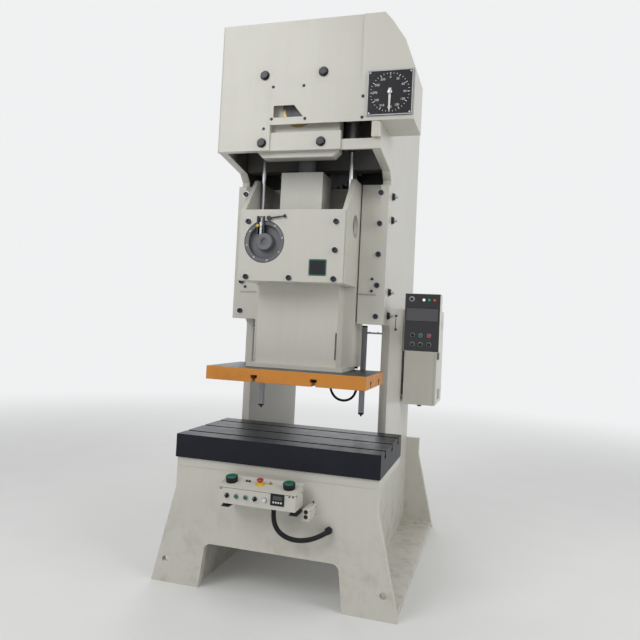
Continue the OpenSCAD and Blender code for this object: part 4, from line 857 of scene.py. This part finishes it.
panelButtons = [("panel_button_grey", 792, 1741, "black"), ("panel_button_green", 846, 1741, "green"),
                ("panel_button_red", 904, 1741, "red"), ("panel_knob_left", 792, 1680, None),
                ("panel_knob_middle", 846, 1680, None)]
panelY, thirdPlace = -565, (904, -565, 1680)
controls = [(name, (x, deskFront, desk["row"]), finish) for (name, finish), x in zip(deskButtons, desk["columns"])]
controls += [(name, (x, panelY, z), finish) for name, x, z, finish in panelButtons]
rings = []
for name, place, finish in controls:
    if finish:
        cap = [upright(push["cap"], np.array(place) - (0, push["lift"], 0)), upright(push["stem"], place)]
        makePiece(name + "_cap", cap, finish, name, node=name, slot="steel" if finish == "white" else None)
    else:
        makePiece(name + "_grip", [upright(knob[key], place) for key in ("skirt", "grip", "stem")], "black", name,
                  bevel=0.7, node=name)
        makePiece(name + "_mark", [upright(knob["mark"], place)], "white", name)
    rings.append(upright((push if finish else knob)["bezel"], place))
makePiece("buttonBezels", rings + [upright(knob["bezel"], thirdPlace)], "grey")
makePiece("thirdKnob", [upright(knob[key], thirdPlace) for key in ("skirt", "grip")], "black", bevel=0.7)
makePiece("thirdKnobMark", [upright(knob["mark"], thirdPlace)], "white")

palm = {
    "cup": [(34.1, 0), (37.5, 0), (38, 0.8), (38, 30.6), (37, 33), (35, 33), (34.1, 31.8), (34.1, 0)],
    "cap": [(32.6, 0), (32.6, 11.88), (32, 13.86), (30.2, 16.2), (27.1, 17.64), (19.56, 18), (9.78, 17.6),
            (0, 17.2)],
}
stop = {
    "cap": [(14.5, 0), (16, 2), (18.8, 3.8), (21.7, 6.2), (22, 9), (20.7, 12.5), (16, 14.9), (8.5, 15.7),
            (0, 16)],
    "collar": [(8.5, 0), (29.5, 0), (30, 0.5), (30, 1.4), (28.8, 2), (17.8, 2), (17, 2.8), (17, 15.2), (16.2, 16),
               (9.5, 16), (8.5, 15), (8.5, 0)],
}


def pressButton(name, x, cap, lift, stemTop, finish):
    # cap and stem of a button that is pressed square to the lid
    makePiece(name + "_cap", [onLid(spun(cap, 56), x, lift=lift)], finish, name, node=name)
    makePiece(name + "_stem", [onLid(stemPart(0, stemTop), x, lift=-14)], "steel", name, node=name)


makePiece("palmCups", [onLid(spun(palm["cup"], 56), x) for x in desk["palms"]], "black", node="control_brackets")
for side, x in zip(("left", "right"), desk["palms"]):
    pressButton("palm_button_" + side, x, palm["cap"], 20, 35, "green")
pressButton("stop_button", desk["stop"], stop["cap"], 22, 37, "red")
makePiece("stopCollar", [onLid(spun(stop["collar"], 48), desk["stop"])], "yellow", node="control_brackets")
lidFittings = {
    "key": [spun([(11.5, 0), (11.5, 3), (9.5, 5.5), (7.5, 5.5), (7, 4.5)], 36),
            barPart((-1.5, -6, 4.5), (1.5, 6, 17))],
    "plug": spun([(8, 0, 1), (8, 4, 1), (5.5, 4.5), (5, 9), (0, 9.5)], 24), "keyX": 29, "plugX": (-131, -113),
    "run": 18,
}
keyX, run = lidFittings["keyX"], lidFittings["run"]
makePiece("deskKeySwitch", [onLid(part, keyX, run) for part in lidFittings["key"]], "bronze", smooth=35)
makePiece("deskPlug", [onLid(lidFittings["plug"], x, run) for x in lidFittings["plugX"]], "oxide", smooth=30)

counter = {"x": (67.5, 154.5), "z": (670, 740), "caseY": (-1270.5, -1264.8), "rim": 8.5, "faceY": -1268,
           "glassY": (-1268.8, -1267.9), "keys": (81, 130.5, 4), "keySeat": (0, -1265.2, 0)}
(x0, x1), (z0, z1), (caseFront, seatY) = counter["x"], counter["z"], counter["caseY"]
glassFront, glassBack = counter["glassY"]
makePiece("deskCounterCase", borderParts((x0, caseFront, z0), (x1, seatY, z1), counter["rim"]), "black", bevel=1.1)
makePiece("deskCounterFace", [barPart((x0 + 8, counter["faceY"], z0 + 8), (x1 - 8, seatY, z1 - 8))], "gloss",
          bevel=0.4)
makePiece("deskCounterWindow", [barPart((x0 + 14, glassFront, z0 + 34), (x1 - 14, glassBack, z1 - 13))], "screen",
          bevel=0.3)
keyParts = [roundedBox((x, z0 + 14, 2.8), (x + 10.5, z0 + 24, 4.6), 1) for x in np.linspace(*counter["keys"])]
makePiece("deskCounterKeys", [upright(part, counter["keySeat"]) for part in keyParts], "white")
print("control box dressed")

# what carries the control box, and its hose's fittings
mounts = {
    "x": (-254, 198), "y": -1190, "low": 613, "half": 27, "plate": 605, "wall": -1050, "wallBolts": (-1072, 14),
    "pad": [(26, 0), (27, 1), (27, 3), (24.84, 5), (23.76, 15), (24.84, 25), (27, 27), (27, 29), (26, 30)],
}
glands = {
    "hose": [(21.2, 0, 1), (21.2, 7, 1), (17.5, 7.5), (17.5, 10), (20.5, 10.5, 1), (20.5, 23.5, 1), (18.8, 27),
             (16.8, 30)],
    "spare": [(9, 0, 1), (9, 6, 1), (6, 6.5), (6, 12), (4, 14), (0, 14.5)],
    "places": [((60, -1175, 643), down), ((388, -1050, 498), front)], "sparePlace": (-90, -1200, 643),
}
onBracket = {"node": "control_brackets", "slot": "black_plastic"}
low, y, half = mounts["low"], mounts["y"], mounts["half"]
makePiece("deskPads", spread(spun(mounts["pad"]), [(x, y, low) for x in mounts["x"]], up), "rubber", **onBracket)
makePiece("deskPadPlates", [roundedBox((x - half, y - half, mounts["plate"]), (x + half, mounts["wall"], low), 3)
                            for x in mounts["x"]], "oxide", bevel=0.8, **onBracket)
wallY, apart = mounts["wallBolts"]
fasten("deskPadBolts", spread(hexHead(13, 5.5), [(x, y, mounts["plate"]) for x in mounts["x"]], down)
       + spread(hexHead(13, 5.5), [(x + s * apart, wallY, low) for x in mounts["x"] for s in (-1, 1)], up),
       "steel")
gland = spun(glands["hose"], 36)
makePiece("hoseGlands", [at(gland, *spot) for spot in glands["places"]], "black", smooth=30, **onBracket)
makePiece("spareGland", [at(spun(glands["spare"], 24), glands["sparePlace"], down)], "black", smooth=30)

sockets = {"low": (252, -1195, 578), "high": (298, -1052, 652), "tab": ((252, -1053, 560), (298, -1050, 670)),
           "places": [(274.5, -1195, z) for z in (634.5, 604.5)],
           "rim": [(12.8, 0), (12.8, 2.5), (11.8, 4), (9.2, 4), (8.8, 1)],
           "pin": [(0, 0.8), (1.1, 0.8), (1.1, 3.5), (0.6, 4), (0, 4.1)], "pinRing": 4.5,
           "pinAngles": (0.5, 2.6, 4.7), "tabScrews": [(278.5, -1053, z) for z in (661.5, 568.5)],
           "sideScrews": [(298, y, z) for y in (-1183, -1070) for z in (590, 640)]}
makePiece("socketBox", [roundedBox(sockets["low"], sockets["high"], 3), barPart(*sockets["tab"])], "paint",
          bevel=0.7, node="control_brackets")
makePiece("socketRims", spread(spun(sockets["rim"], 36), sockets["places"]), "black")
pinPlaces = [circlePlaces(place, sockets["pinRing"], sockets["pinAngles"]) for place in sockets["places"]]
makePiece("socketPins", spread(spun(sockets["pin"], 12), sum(pinPlaces, [])), "bronze")
fasten("socketScrews", spread(capHead(4.5, 3, 1.4), sockets["tabScrews"])
       + spread(capHead(2.8, 1.6, 1.4), sockets["sideScrews"], right))
print("brackets and sockets made")

# operator panel on its arm
# frame and glass: how far they stand out and reach in, then the frame's width and the glass's inset
panel = {"screen": ((740, 1836), (964, 1931)), "frame": (1.6, 0.5, 3.5), "glass": (0.9, 0.3, 3),
         "lampZ": 1985, "signal": (777, panelY, 1990),
         "lamps": {"lampWhite": 860, "lampGreen": 897, "lampRed": 934},
         "lens": [(9.8, 0), (9.8, 6.2), (8.8, 7.8), (5.5, 8.7), (0, 9)],
         "screws": [(x, panelY, z) for x in (738.5, 965.5) for z in (1639, 2020)]}
softCopy("operator_panel", 2, "panelCase")
(x0, z0), (x1, z1) = panel["screen"]
proud, sunk, rim = panel["frame"]
makePiece("panelScreenFrame", borderParts((x0, panelY - proud, z0), (x1, panelY + sunk, z1), rim), "black",
          bevel=0.6)
proud, sunk, inset = panel["glass"]
low, high = (x0 + inset, panelY - proud, z0 + inset), (x1 - inset, panelY + sunk, z1 - inset)
makePiece("panelScreen", [barPart(low, high)], "screen", bevel=0.3)
lampPlaces = {finish: (x, panelY, panel["lampZ"]) for finish, x in panel["lamps"].items()}
makePiece("panelLampRings", spread(bezelPart(10, 12.8, 3.6), lampPlaces.values()), "black")
for finish, place in lampPlaces.items():
    makePiece("panel_" + finish, [at(spun(panel["lens"], 36), place)], finish)
makePiece("panelSignalRing", [at(bezelPart(12, 18.2, 3.4), panel["signal"])], "grey")
makePiece("panelSignalFace", [at(spun([(11.9, 0), (11.9, 1), (6, 1.8), (0, 2)], 36), panel["signal"])], "gloss")
fasten("panelScrews", spread(capHead(3, 1.6, 1.3), panel["screws"]))
armFlange = {"x": (771, 851), "z": (1769.5, 1882.5), "front": (-425.2, -418.2), "back": (413.2, 420.2)}
(x0, x1), (z0, z1) = armFlange["x"], armFlange["z"]
flanges = [barPart((x0, y0, z0), (x1, y1, z1)) for y0, y1 in (armFlange["front"], armFlange["back"])]
makePiece("armFlanges", flanges, "paint", bevel=1)
heads = [(x, z) for x in (x0 + 6, x1 - 6) for z in (z0 + 8, z1 - 8)]
fasten("armBolts", spread(hexHead(11, 6), [(x, armFlange["front"][1], z) for x, z in heads], back)
       + spread(hexHead(11, 6), [(x, armFlange["back"][0], z) for x, z in heads]), "steel")
wallPins = {"x": 578, "y": -22, "z": (1771, 1879), "line": 6.5,
            "pin": [(9.5, 0), (9.5, 2), (6, 3), (6, 9), (9, 10), (9, 16), (7.8, 17.5)]}
pin = spun(wallPins["pin"], 28)
makePiece("wallPins", spread(pin, [(wallPins["x"], wallPins["y"], z) for z in wallPins["z"]], right), "oxide")
line = [(wallPins["x"] + wallPins["line"], wallPins["y"], z) for z in np.linspace(*wallPins["z"], 8)]
makePiece("wallPinLine", [swept(line, 2.2)], "rubber")
print("operator panel dressed")

# electrical cabinet, its door and what it holds
cabinet = {
    "seal": ((842, 423.5, 1153.5), (849.8, 936.5, 1946.5)),
    "plate": ((608, 440, 1175), (610.5, 920, 1925)),
    "plateX": 610.5, "ductX": 655, "railX": 618, "railY": (500, 860), "railHalf": 17.5,
    "rails": (1750, 1515, 1312),
    "ducts": [(450, 490, 1200, 1900), (870, 910, 1200, 1900), (492, 868, 1860, 1900), (492, 868, 1600, 1640),
              (492, 868, 1390, 1430), (492, 868, 1200, 1235)],
    # height over the floor, height, width, count, pitch and depth of each row of modules
    "rows": [(1750, 90, 75, 4, 86, 90), (1515, 75, 45, 7, 50, 70), (1312, 60, 12, 26, 13.5, 45)],
    "vents": (1230, 1830), "blades": 9, "bladePitch": 7.5, "ventHalf": (75, 83, 42), "middle": 680,
    "ventX": (868.8, 871.2, 871.8), "lockPlace": (885.5, 468, 1556),
    "glandPlaces": [(725, y, 1150) for y in (550, 620, 690, 760)],
    "lugPlaces": [(x, y, 1950) for x in (625, 825) for y in (450, 910)],
    "handle": [((868.8, 453.5, 1530), (873.5, 482.5, 1658), 4), ((873.5, 455.5, 1533), (885.5, 480.5, 1655), 5)],
    "lock": [(8.5, 0), (8.5, 1.6), (7, 2.4), (2.2, 2.4), (1.8, 1.2)],
    "gland": [(16, 0, 1), (16, 8, 1), (13, 8.5), (13, 10), (15, 10.5, 1), (15, 22, 1), (12.5, 26), (7, 27)],
}
makePiece("cabinetSeal", borderParts(*cabinet["seal"], 9, 1), "rubber", bevel=1)
makePiece("mountingPlate", [barPart(*cabinet["plate"])], "steel", bevel=0.8)
plateX, ductX, railX = cabinet["plateX"], cabinet["ductX"], cabinet["railX"]
(y0, y1), half = cabinet["railY"], cabinet["railHalf"]
rails = [barPart((plateX, y0, z - half), (railX, y1, z + half)) for z in cabinet["rails"]]
ducts = [roundedBox((plateX, y0, z0), (ductX, y1, z1), 2) for y0, y1, z0, z1 in cabinet["ducts"]]
makePiece("wireDucts", ducts, "grey", bevel=1)
makePiece("mountingRails", rails, "steel", bevel=0.8)
blocks, middle = [], cabinet["middle"]
for z, height, width, count, pitch, depth in cabinet["rows"]:
    for k in range(count):
        y, face = middle + (k - (count - 1) / 2) * pitch, railX + depth
        w, h = width / 2, height / 2
        blocks.append(roundedBox((railX, y - w, z - h), (face, y + w, z + h), 1.5, 2))
        if width > 20:  # the wide ones have a raised front
            w, h = width * 0.3, height * 0.18
            blocks.append(roundedBox((face, y - w, z - h), (face + 12, y + w, z + h), 1, 2))
makePiece("switchGear", blocks, "black")
bladeHalf, rimHalf, rimRise = cabinet["ventHalf"]
doorX, bladeX, rimX = cabinet["ventX"]
rims, blades = [], []
for vent in cabinet["vents"]:
    rims += borderParts((doorX, middle - rimHalf, vent - rimRise), (rimX, middle + rimHalf, vent + rimRise), 8, 1)
    for k in range(cabinet["blades"]):
        z = vent + (k - (cabinet["blades"] - 1) / 2) * cabinet["bladePitch"]
        blades.append(prism([(doorX, z - 3), (bladeX, z - 2.6), (bladeX, z - 1.2), (doorX, z + 2.6)],
                            middle - bladeHalf, middle + bladeHalf))
makePiece("doorVents", rims + blades, "grey", "door", bevel=0.5)
makePiece("doorHandle", [roundedBox(*box) for box in cabinet["handle"]], "black", "door", bevel=1.2)
makePiece("doorLock", [at(spun(cabinet["lock"], 32), cabinet["lockPlace"], right)], "steel", "door")
makePiece("cabinetGlands", spread(spun(cabinet["gland"], 36), cabinet["glandPlaces"], down), "black", smooth=30)
fasten("cabinetLugs", spread(hexHead(17, 8), cabinet["lugPlaces"], up), "steel")
print("cabinet dressed")

# motor, air tank and guard on the crown
motor = {
    "z": 4077, "fins": (44, 160, 178), "body": (455, 842), "spokes": (139, 4), "boltRing": 146, "bellBoltY": 880,
    "bellY": (841.5, 456), "hoodY": 410.5, "grilleY": (341.5, 345), "rings": (20, 134, 9), "feet": (520, 780),
    "footBolts": [(x, y, 3892) for x in (-128, 128) for y in (520, 780)],
    "lidScrews": [(259.8, y, z) for y in (562, 738) for z in (4019, 4135)],
    "glandPlaces": [(205, y, 4009) for y in (600, 700)],
    "rearBell": [(172, 0), (176, 3), (176, 14), (172, 20), (160, 34), (118, 43), (70, 47), (66, 47.5),
                 (60, 47.8), (56, 44)],
    "frontBell": [(172, 0), (176, 3), (176, 18), (171, 26), (164, 46)],
    "hood": [(160, 0), (161.5, 1.5), (161.5, 52), (159, 62), (150, 69), (141, 70.5), (141, 66)],
    "terminals": [((158, 552, 4009), (252, 748, 4145), 8), ((252.5, 550, 4007), (260, 750, 4147), 3)],
    "terminalGland": [(14, 0, 1), (14, 8, 1), (11, 8.5), (12.5, 9.5, 1), (12.5, 19, 1), (10, 22)],
    "eye": {"lean": math.radians(128), "y": 650, "centre": 197, "foot": 166, "ring": 18, "thick": 4.5},
}
mz = motor["z"]


def finOutline(count, root, tip):
    # two points at the root and two at the tip for every fin
    pitch = 2 * math.pi / count
    angle = (np.arange(count)[:, None] * pitch + np.array([-0.34, -0.17, 0.17, 0.34]) * pitch).ravel()
    radius = np.tile([root, tip, tip, root], count)
    return np.stack([radius * np.cos(angle), mz + radius * np.sin(angle)], -1)


def spokePart(t):
    # flat bar across the hood's grille
    reach, half = motor["spokes"]
    along, aside = reach * np.array((math.cos(t), math.sin(t))), half * np.array((-math.sin(t), math.cos(t)))
    corners = np.array([aside - along, along + aside, along - aside, -along - aside])
    return prism(corners + (0, mz), *motor["grilleY"])


foot = {"half": (150, 50), "z": (3870, 3892), "ribY": 38, "ribHalf": 7, "webHalf": 12,
        "rib": [(142, 3891), (120, 3891), (98, 3975), (112, 3975)],
        "web": [(-112, 3891), (112, 3891), (94, 3950), (-94, 3950)]}


def footParts(y):
    # plate, four side ribs and a web
    (wide, deep), (low, high), half = foot["half"], foot["z"], foot["ribHalf"]
    ribs = [prism([(s * x, z) for x, z in foot["rib"]], y + dy - half, y + dy + half)
            for s in (-1, 1) for dy in (-foot["ribY"], foot["ribY"])]
    web = prism(foot["web"], y - foot["webHalf"], y + foot["webHalf"])
    return [barPart((-wide, y - deep, low), (wide, y + deep, high)), *ribs, web]


onMotor = {"node": "motor"}
makePiece("motorBody", [prism(finOutline(*motor["fins"]), *motor["body"])], "motorPaint", smooth=25, **onMotor)
rearY, frontY = motor["bellY"]
makePiece("motorBells", [at(spun(motor["rearBell"], 72), (0, rearY, mz), back),
                         at(spun(motor["frontBell"], 72), (0, frontY, mz))], "motorPaint", **onMotor)
hood = [at(spun(motor["hood"], 72), (0, motor["hoodY"], mz))]
hood += [at(ringPart(r - 3, r + 3, 5.2, 0.8), (0, motor["grilleY"][1], mz)) for r in np.linspace(*motor["rings"])]
hood += [spokePart(0.4 + k * math.pi / 3) for k in range(3)]
makePiece("motorFanHood", hood, "motorPaint", smooth=30, **onMotor)
makePiece("motorFeet", sum([footParts(y) for y in motor["feet"]], []), "motorPaint", bevel=2, **onMotor)
bellBolts = circlePlaces((0, motor["bellBoltY"], mz), motor["boltRing"], (np.arange(4) + 0.5) * math.pi / 2)
fasten("motorBolts", spread(hexHead(19, 11), motor["footBolts"], up)
       + spread(hexHead(17, 8), bellBolts, back), "steel", **onMotor)
makePiece("terminalBox", [roundedBox(*box) for box in motor["terminals"]], "motorPaint", bevel=1, **onMotor)
fasten("terminalScrews", spread(capHead(4, 2.2, 1.2), motor["lidScrews"], right)
       + spread(spun(motor["terminalGland"], 36), motor["glandPlaces"], down))
eye = motor["eye"]
aim = np.array((math.cos(eye["lean"]), 0, math.sin(eye["lean"])))
base = np.array((0, eye["y"], mz))
t = np.linspace(0, 2 * math.pi, 49)[:, None]
ring = base + aim * eye["centre"] + eye["ring"] * (np.cos(t) * aim + np.sin(t) * np.array(back))
makePiece("motorEye", [swept(ring, eye["thick"]), at(hexHead(24, 10), base + aim * eye["foot"], aim)], "steel")
print("motor made")

tank = {
    "y": 60, "z": 4008, "radius": 140, "half": 380, "dome": 80, "straps": (-240, 240),
    "elbow": [(14, 0, 1), (14, 10, 1), (9, 10.5), (9, 24), (11, 25), (11, 40), (7, 44)],
    "drain": [(12, 0, 1), (12, 8, 1), (8, 8.5), (8, 16), (0, 17)],
    "gauge": [(8, -20), (8, 0), (26, 0), (28, 2), (28, 18), (26, 20), (24, 20), (23.5, 16.5)],
    "needle": [(-1.2, -6), (1.2, -6), (14, 12.5)],
}
onTank = {"node": "air_tank"}
ty, tz, tr = tank["y"], tank["z"], tank["radius"]
weld = tank["dome"] - tank["half"]
shell = [(tr * math.sin(a), tank["dome"] * (1 - math.cos(a)) - tank["half"])
         for a in np.linspace(0, math.pi / 2, 13)]
shell += [(tr, weld + 4), (tr + 1.2, weld + 6), (tr + 1.2, weld + 14), (tr, weld + 16)]
shell += [(r, -h) for r, h in shell[::-1]]
makePiece("tankShell", [at(spun(shell, 72), (0, ty, tz), right)], "paint", **onTank)
seat = [(tr * 0.999 * math.cos(a), tz + tr * 0.999 * math.sin(a)) for a in np.radians(np.linspace(-52, -128, 13))]
saddle = [(-90, 3842), (90, 3842), (90, 3850), (78, 3855), *seat, (-78, 3855), (-90, 3850)]
straps = []
for x in tank["straps"]:
    straps.append(at(ringPart(tr - 1, tr + 3.5, 30), (x - 15, ty, tz), right))
    straps.append(prism([(ty + u, v) for u, v in saddle], x - 12, x + 12, "X"))
makePiece("tankStraps", straps, "paint", bevel=0.8, **onTank)
fasten("tankBolts", spread(hexHead(17, 9), [(x, ty + s * 84, 3850) for x in tank["straps"] for s in (-1, 1)], up),
       "steel")
makePiece("tankFittings", [at(spun(tank["elbow"], 36), (-130, ty - tr + 3, tz)),
                           at(spun(tank["drain"], 36), (0, ty, tz - tr + 2), down)], "bronze", smooth=30)
gx, gy, gz = 20, ty - tr - 18, tz + 10
makePiece("tankGaugeCase", [at(spun(tank["gauge"], 48), (gx, gy, gz))], "steel")
makePiece("tankGaugeFace", [at(spun([(23.6, 0), (23.6, 0.8)], 48), (gx, gy - 16.5, gz))], "white")
makePiece("tankGaugeNeedle", [prism([(gx + u, gz + v) for u, v in tank["needle"]], gy - 18.4, gy - 17.2)], "black")
print("tank made")

# height and radius of the guard's two round ends, and where its tabs and seams lie
guard = {"low": (2680, 479), "high": (4077, 157), "tabs": (0.06, 0.38, 0.70), "proud": 2.8,
         "seams": [(1090, 1096), (1233, 1247.5)]}
(lowZ, lowR), (highZ, highR) = guard["low"], guard["high"]
lean = math.asin((lowR - highR) / (highZ - lowZ))
normal = np.array([math.cos(lean), math.sin(lean)])
starts, stops = normal * lowR + (0, lowZ), normal * highR + (0, highZ)
slope = (stops - starts) / np.linalg.norm(stops - starts)
tabs, tabBolts = [], []
for mirror in (np.array((-1, 1)), np.array((1, 1))):
    for share in guard["tabs"]:
        mid = starts + (stops - starts) * share
        tab = [mid + slope * u + normal * v for u, v in ((-22, -1), (22, -1), (22, 36), (-22, 36))]
        tabs.append(prism(np.array(tab) * mirror, 950.2, 955.2))
        x, z = (mid + normal * 19) * mirror
        tabBolts.append(at(hexHead(17, 8), (x, 955.2, z), back))
makePiece("guardTabs", tabs, "paint", bevel=1)
fasten("guardBolts", tabBolts, "steel")


def guardLine(out, y0, y1):
    # the guard's outline, grown outwards: two arcs joined by their tangents, as a closed band
    arcs = [(lowZ, lowR, np.linspace(-math.pi - lean, lean, 61)),
            (highZ, highR, np.linspace(lean, math.pi - lean, 37))]
    inner, outer = ([((r + grown) * math.cos(a), z + (r + grown) * math.sin(a)) for z, r, arc in arcs for a in arc]
                    for grown in (0, out))
    rings = [[(x, y, z) for x, z in ring]
             for ring, y in ((inner, y0), (outer, y0), (outer, y1), (inner, y1), (inner, y0))]
    return np.concatenate(rings), gridFaces(5, len(inner))


makePiece("guardSeam", [guardLine(guard["proud"], *seam) for seam in guard["seams"]], "paint")
print("guard dressed")

# fittings of the slide's hose, the light bars' lenses and caps, and the balancers' screws
hoseEnds = {
    "x": (160, 370), "wall": -355.5, "y": -335, "z": 1430, "elbow": [(-14, 0), (-4, -0.4), (0, -4), (0, -11)],
    "union": [(12.5, 0, 1), (12.5, 7, 1), (9.8, 7.5), (9.8, 11)],
    "ferrule": [(9.8, 0), (11.5, 1.2), (11.5, 3), (10.8, 3.6), (11.5, 4.2), (11.5, 14), (10.4, 16)],
}
fittings = []
for x in hoseEnds["x"]:
    y, z = hoseEnds["y"], hoseEnds["z"]
    elbow = smoothPath([(x, y + u, z + v) for u, v in hoseEnds["elbow"]], 14)
    fittings += [at(spun(hoseEnds["union"], 24), (x, hoseEnds["wall"], z), back), swept(elbow, 8.8, 16),
                 at(spun(hoseEnds["ferrule"], 28), (x, y, z - 8), down)]
makePiece("slideHoseFittings", fittings, "steel", "slide", smooth=30, node="slide_bolts", slot="dark_steel")

bars = {"inner": 380, "outer": 416, "y": (-310, -274), "middle": -292, "z": (1130, 1790), "cap": 14, "proud": 0.7,
        "screws": (438, 500), "screwZ": 1742,
        "gland": [(10, 0, 1), (10, 6, 1), (7.5, 6.5), (7, 13), (5.5, 15), (0, 15.5)]}
(z0, z1), (y0, y1), p = bars["z"], bars["y"], bars["proud"]
lenses, caps, glands, heads = [], [], [], []
for side in (-1, 1):
    x0, x1 = sorted((side * bars["inner"], side * bars["outer"]))
    a, b = sorted((side * (bars["inner"] + 2), side * (bars["inner"] - 0.6)))
    lenses.append(barPart((a, bars["middle"] - 11, z0 + 20), (b, bars["middle"] + 11, z1 - 20)))
    caps += [roundedBox((x0 - p, y0 - p, low), (x1 + p, y1 + p, low + bars["cap"]), 3)
             for low in (z0, z1 - bars["cap"])]
    glands.append(at(spun(bars["gland"], 24), ((x0 + x1) / 2, bars["middle"], z0), down))
    heads += spread(capHead(5, 5, 1.2), [(side * x, bars["middle"], bars["screwZ"]) for x in bars["screws"]], up)
makePiece("lightBarLenses", lenses, "gloss", bevel=0.4)
makePiece("lightBarCaps", caps, "black")
makePiece("lightBarGlands", glands, "black", smooth=30)
fasten("lightBarScrews", heads)

balancers = {"places": [(-325, -655, 3010), (325, -655, 3010)], "circle": 40,
             "angles": np.arange(6) * math.pi / 3 + 0.3,
             "seal": [(15.8, 0), (27, 0), (27, 4), (25.5, 6), (18.5, 6), (16.5, 7.5), (15.8, 7.5), (15.8, 0)]}
screwPlaces = [circlePlaces(place, balancers["circle"], balancers["angles"], "Z") for place in balancers["places"]]
fasten("balancerScrews", spread(capHead(5.5, 5.5, 1.2), sum(screwPlaces, []), down))
makePiece("balancerSeals", spread(spun(balancers["seal"], 36), balancers["places"], down), "rubber")
print("fittings, light bars and balancers dressed")

# floor, sky and lamps
studio = {"floor": 60.0, "floorTone": (0.765, 0.765, 0.757), "floorShade": (0.752, 0.752, 0.745),
          "far": (0.87, 0.88, 0.885), "fade": (3.2, 11.0), "skyLevel": 0.42}


def paleToLookers(tree):
    # 1 for rays of the camera, of gloss and of glass, 0 for the rays that light the part
    path = tree.nodes.new("ShaderNodeLightPath")
    camera = Wire(tree, path.outputs["Is Camera Ray"])
    seen = camera.maths("MAXIMUM", camera, Wire(tree, path.outputs["Is Glossy Ray"]))
    return seen.maths("MAXIMUM", seen, Wire(tree, path.outputs["Is Transmission Ray"]))


def makeFloor(setup):
    # plain floor that turns into the pale backdrop with distance: smoothstep between the fade's ends
    half = setup["floor"] / 2
    mesh = bpy.data.meshes.new("floor")
    mesh.from_pydata([(-half, -half, 0), (half, -half, 0), (half, half, 0), (-half, half, 0)], [], [(0, 1, 2, 3)])
    floor = bpy.data.objects.new("floor", mesh)
    bpy.context.scene.collection.objects.link(floor)
    f = Finish("studioFloor")
    tone = f.blend(f.ramp(f.noise(2.2, 4), 0.35, 0.7), setup["floorTone"], setup["floorShade"])
    ground = f.node("BsdfPrincipled", {}, {"Base Color": tone, "Roughness": 0.7})
    glow = f.node("Emission", {}, {"Color": setup["far"], "Strength": 1.0})
    away = f.node("VectorMath", {"operation": "LENGTH"}, {0: f.place()}, out="Value")
    mask = f.ramp(away, *setup["fade"]) * paleToLookers(f.tree)
    mesh.materials.append(f.end(f.node("MixShader", {}, {0: mask, 1: ground, 2: glow})))


def makeSky(setup):
    world = bpy.data.worlds.new("studio")
    bpy.context.scene.world = world
    world.use_nodes = True
    tree = world.node_tree
    tree.nodes.clear()
    lamp = tree.nodes.new("ShaderNodeBackground")
    lamp.inputs["Color"].default_value = (*setup["far"], 1)
    level = paleToLookers(tree) * (1.0 - setup["skyLevel"]) + setup["skyLevel"]
    tree.links.new(level.socket, lamp.inputs["Strength"])
    output = tree.nodes.new("ShaderNodeOutputWorld")
    tree.links.new(lamp.outputs[0], output.inputs["Surface"])


lamps = [
    {"name": "keyLamp", "place": (-3.6, -7.0, 6.2), "aim": (0, -0.6, 2.1), "size": 4.0, "power": 235},
    {"name": "sideLamp", "place": (6.5, -3.0, 4.6), "aim": (0, 0, 1.9), "size": 4.0, "power": 165},
    {"name": "backLamp", "place": (-1.5, 7.0, 6.0), "aim": (0, 0, 2.2), "size": 4.5, "power": 170},
    {"name": "topLamp", "place": (0, -0.5, 9.0), "aim": (0, 0, 0), "size": 5.0, "power": 150},
]


def makeLamp(setup):
    data = bpy.data.lights.new(setup["name"], "AREA")
    data.size = setup["size"]
    data.energy = setup["power"]
    lamp = bpy.data.objects.new(setup["name"], data)
    lamp.location = setup["place"]
    direction = Vector(setup["aim"]) - Vector(setup["place"])
    lamp.rotation_euler = direction.to_track_quat("-Z", "Y").to_euler()
    bpy.context.scene.collection.objects.link(lamp)


makeFloor(studio)
makeSky(studio)
for setup in lamps:
    makeLamp(setup)
bpy.context.scene.view_settings.view_transform = "Standard"
print("studio ready")
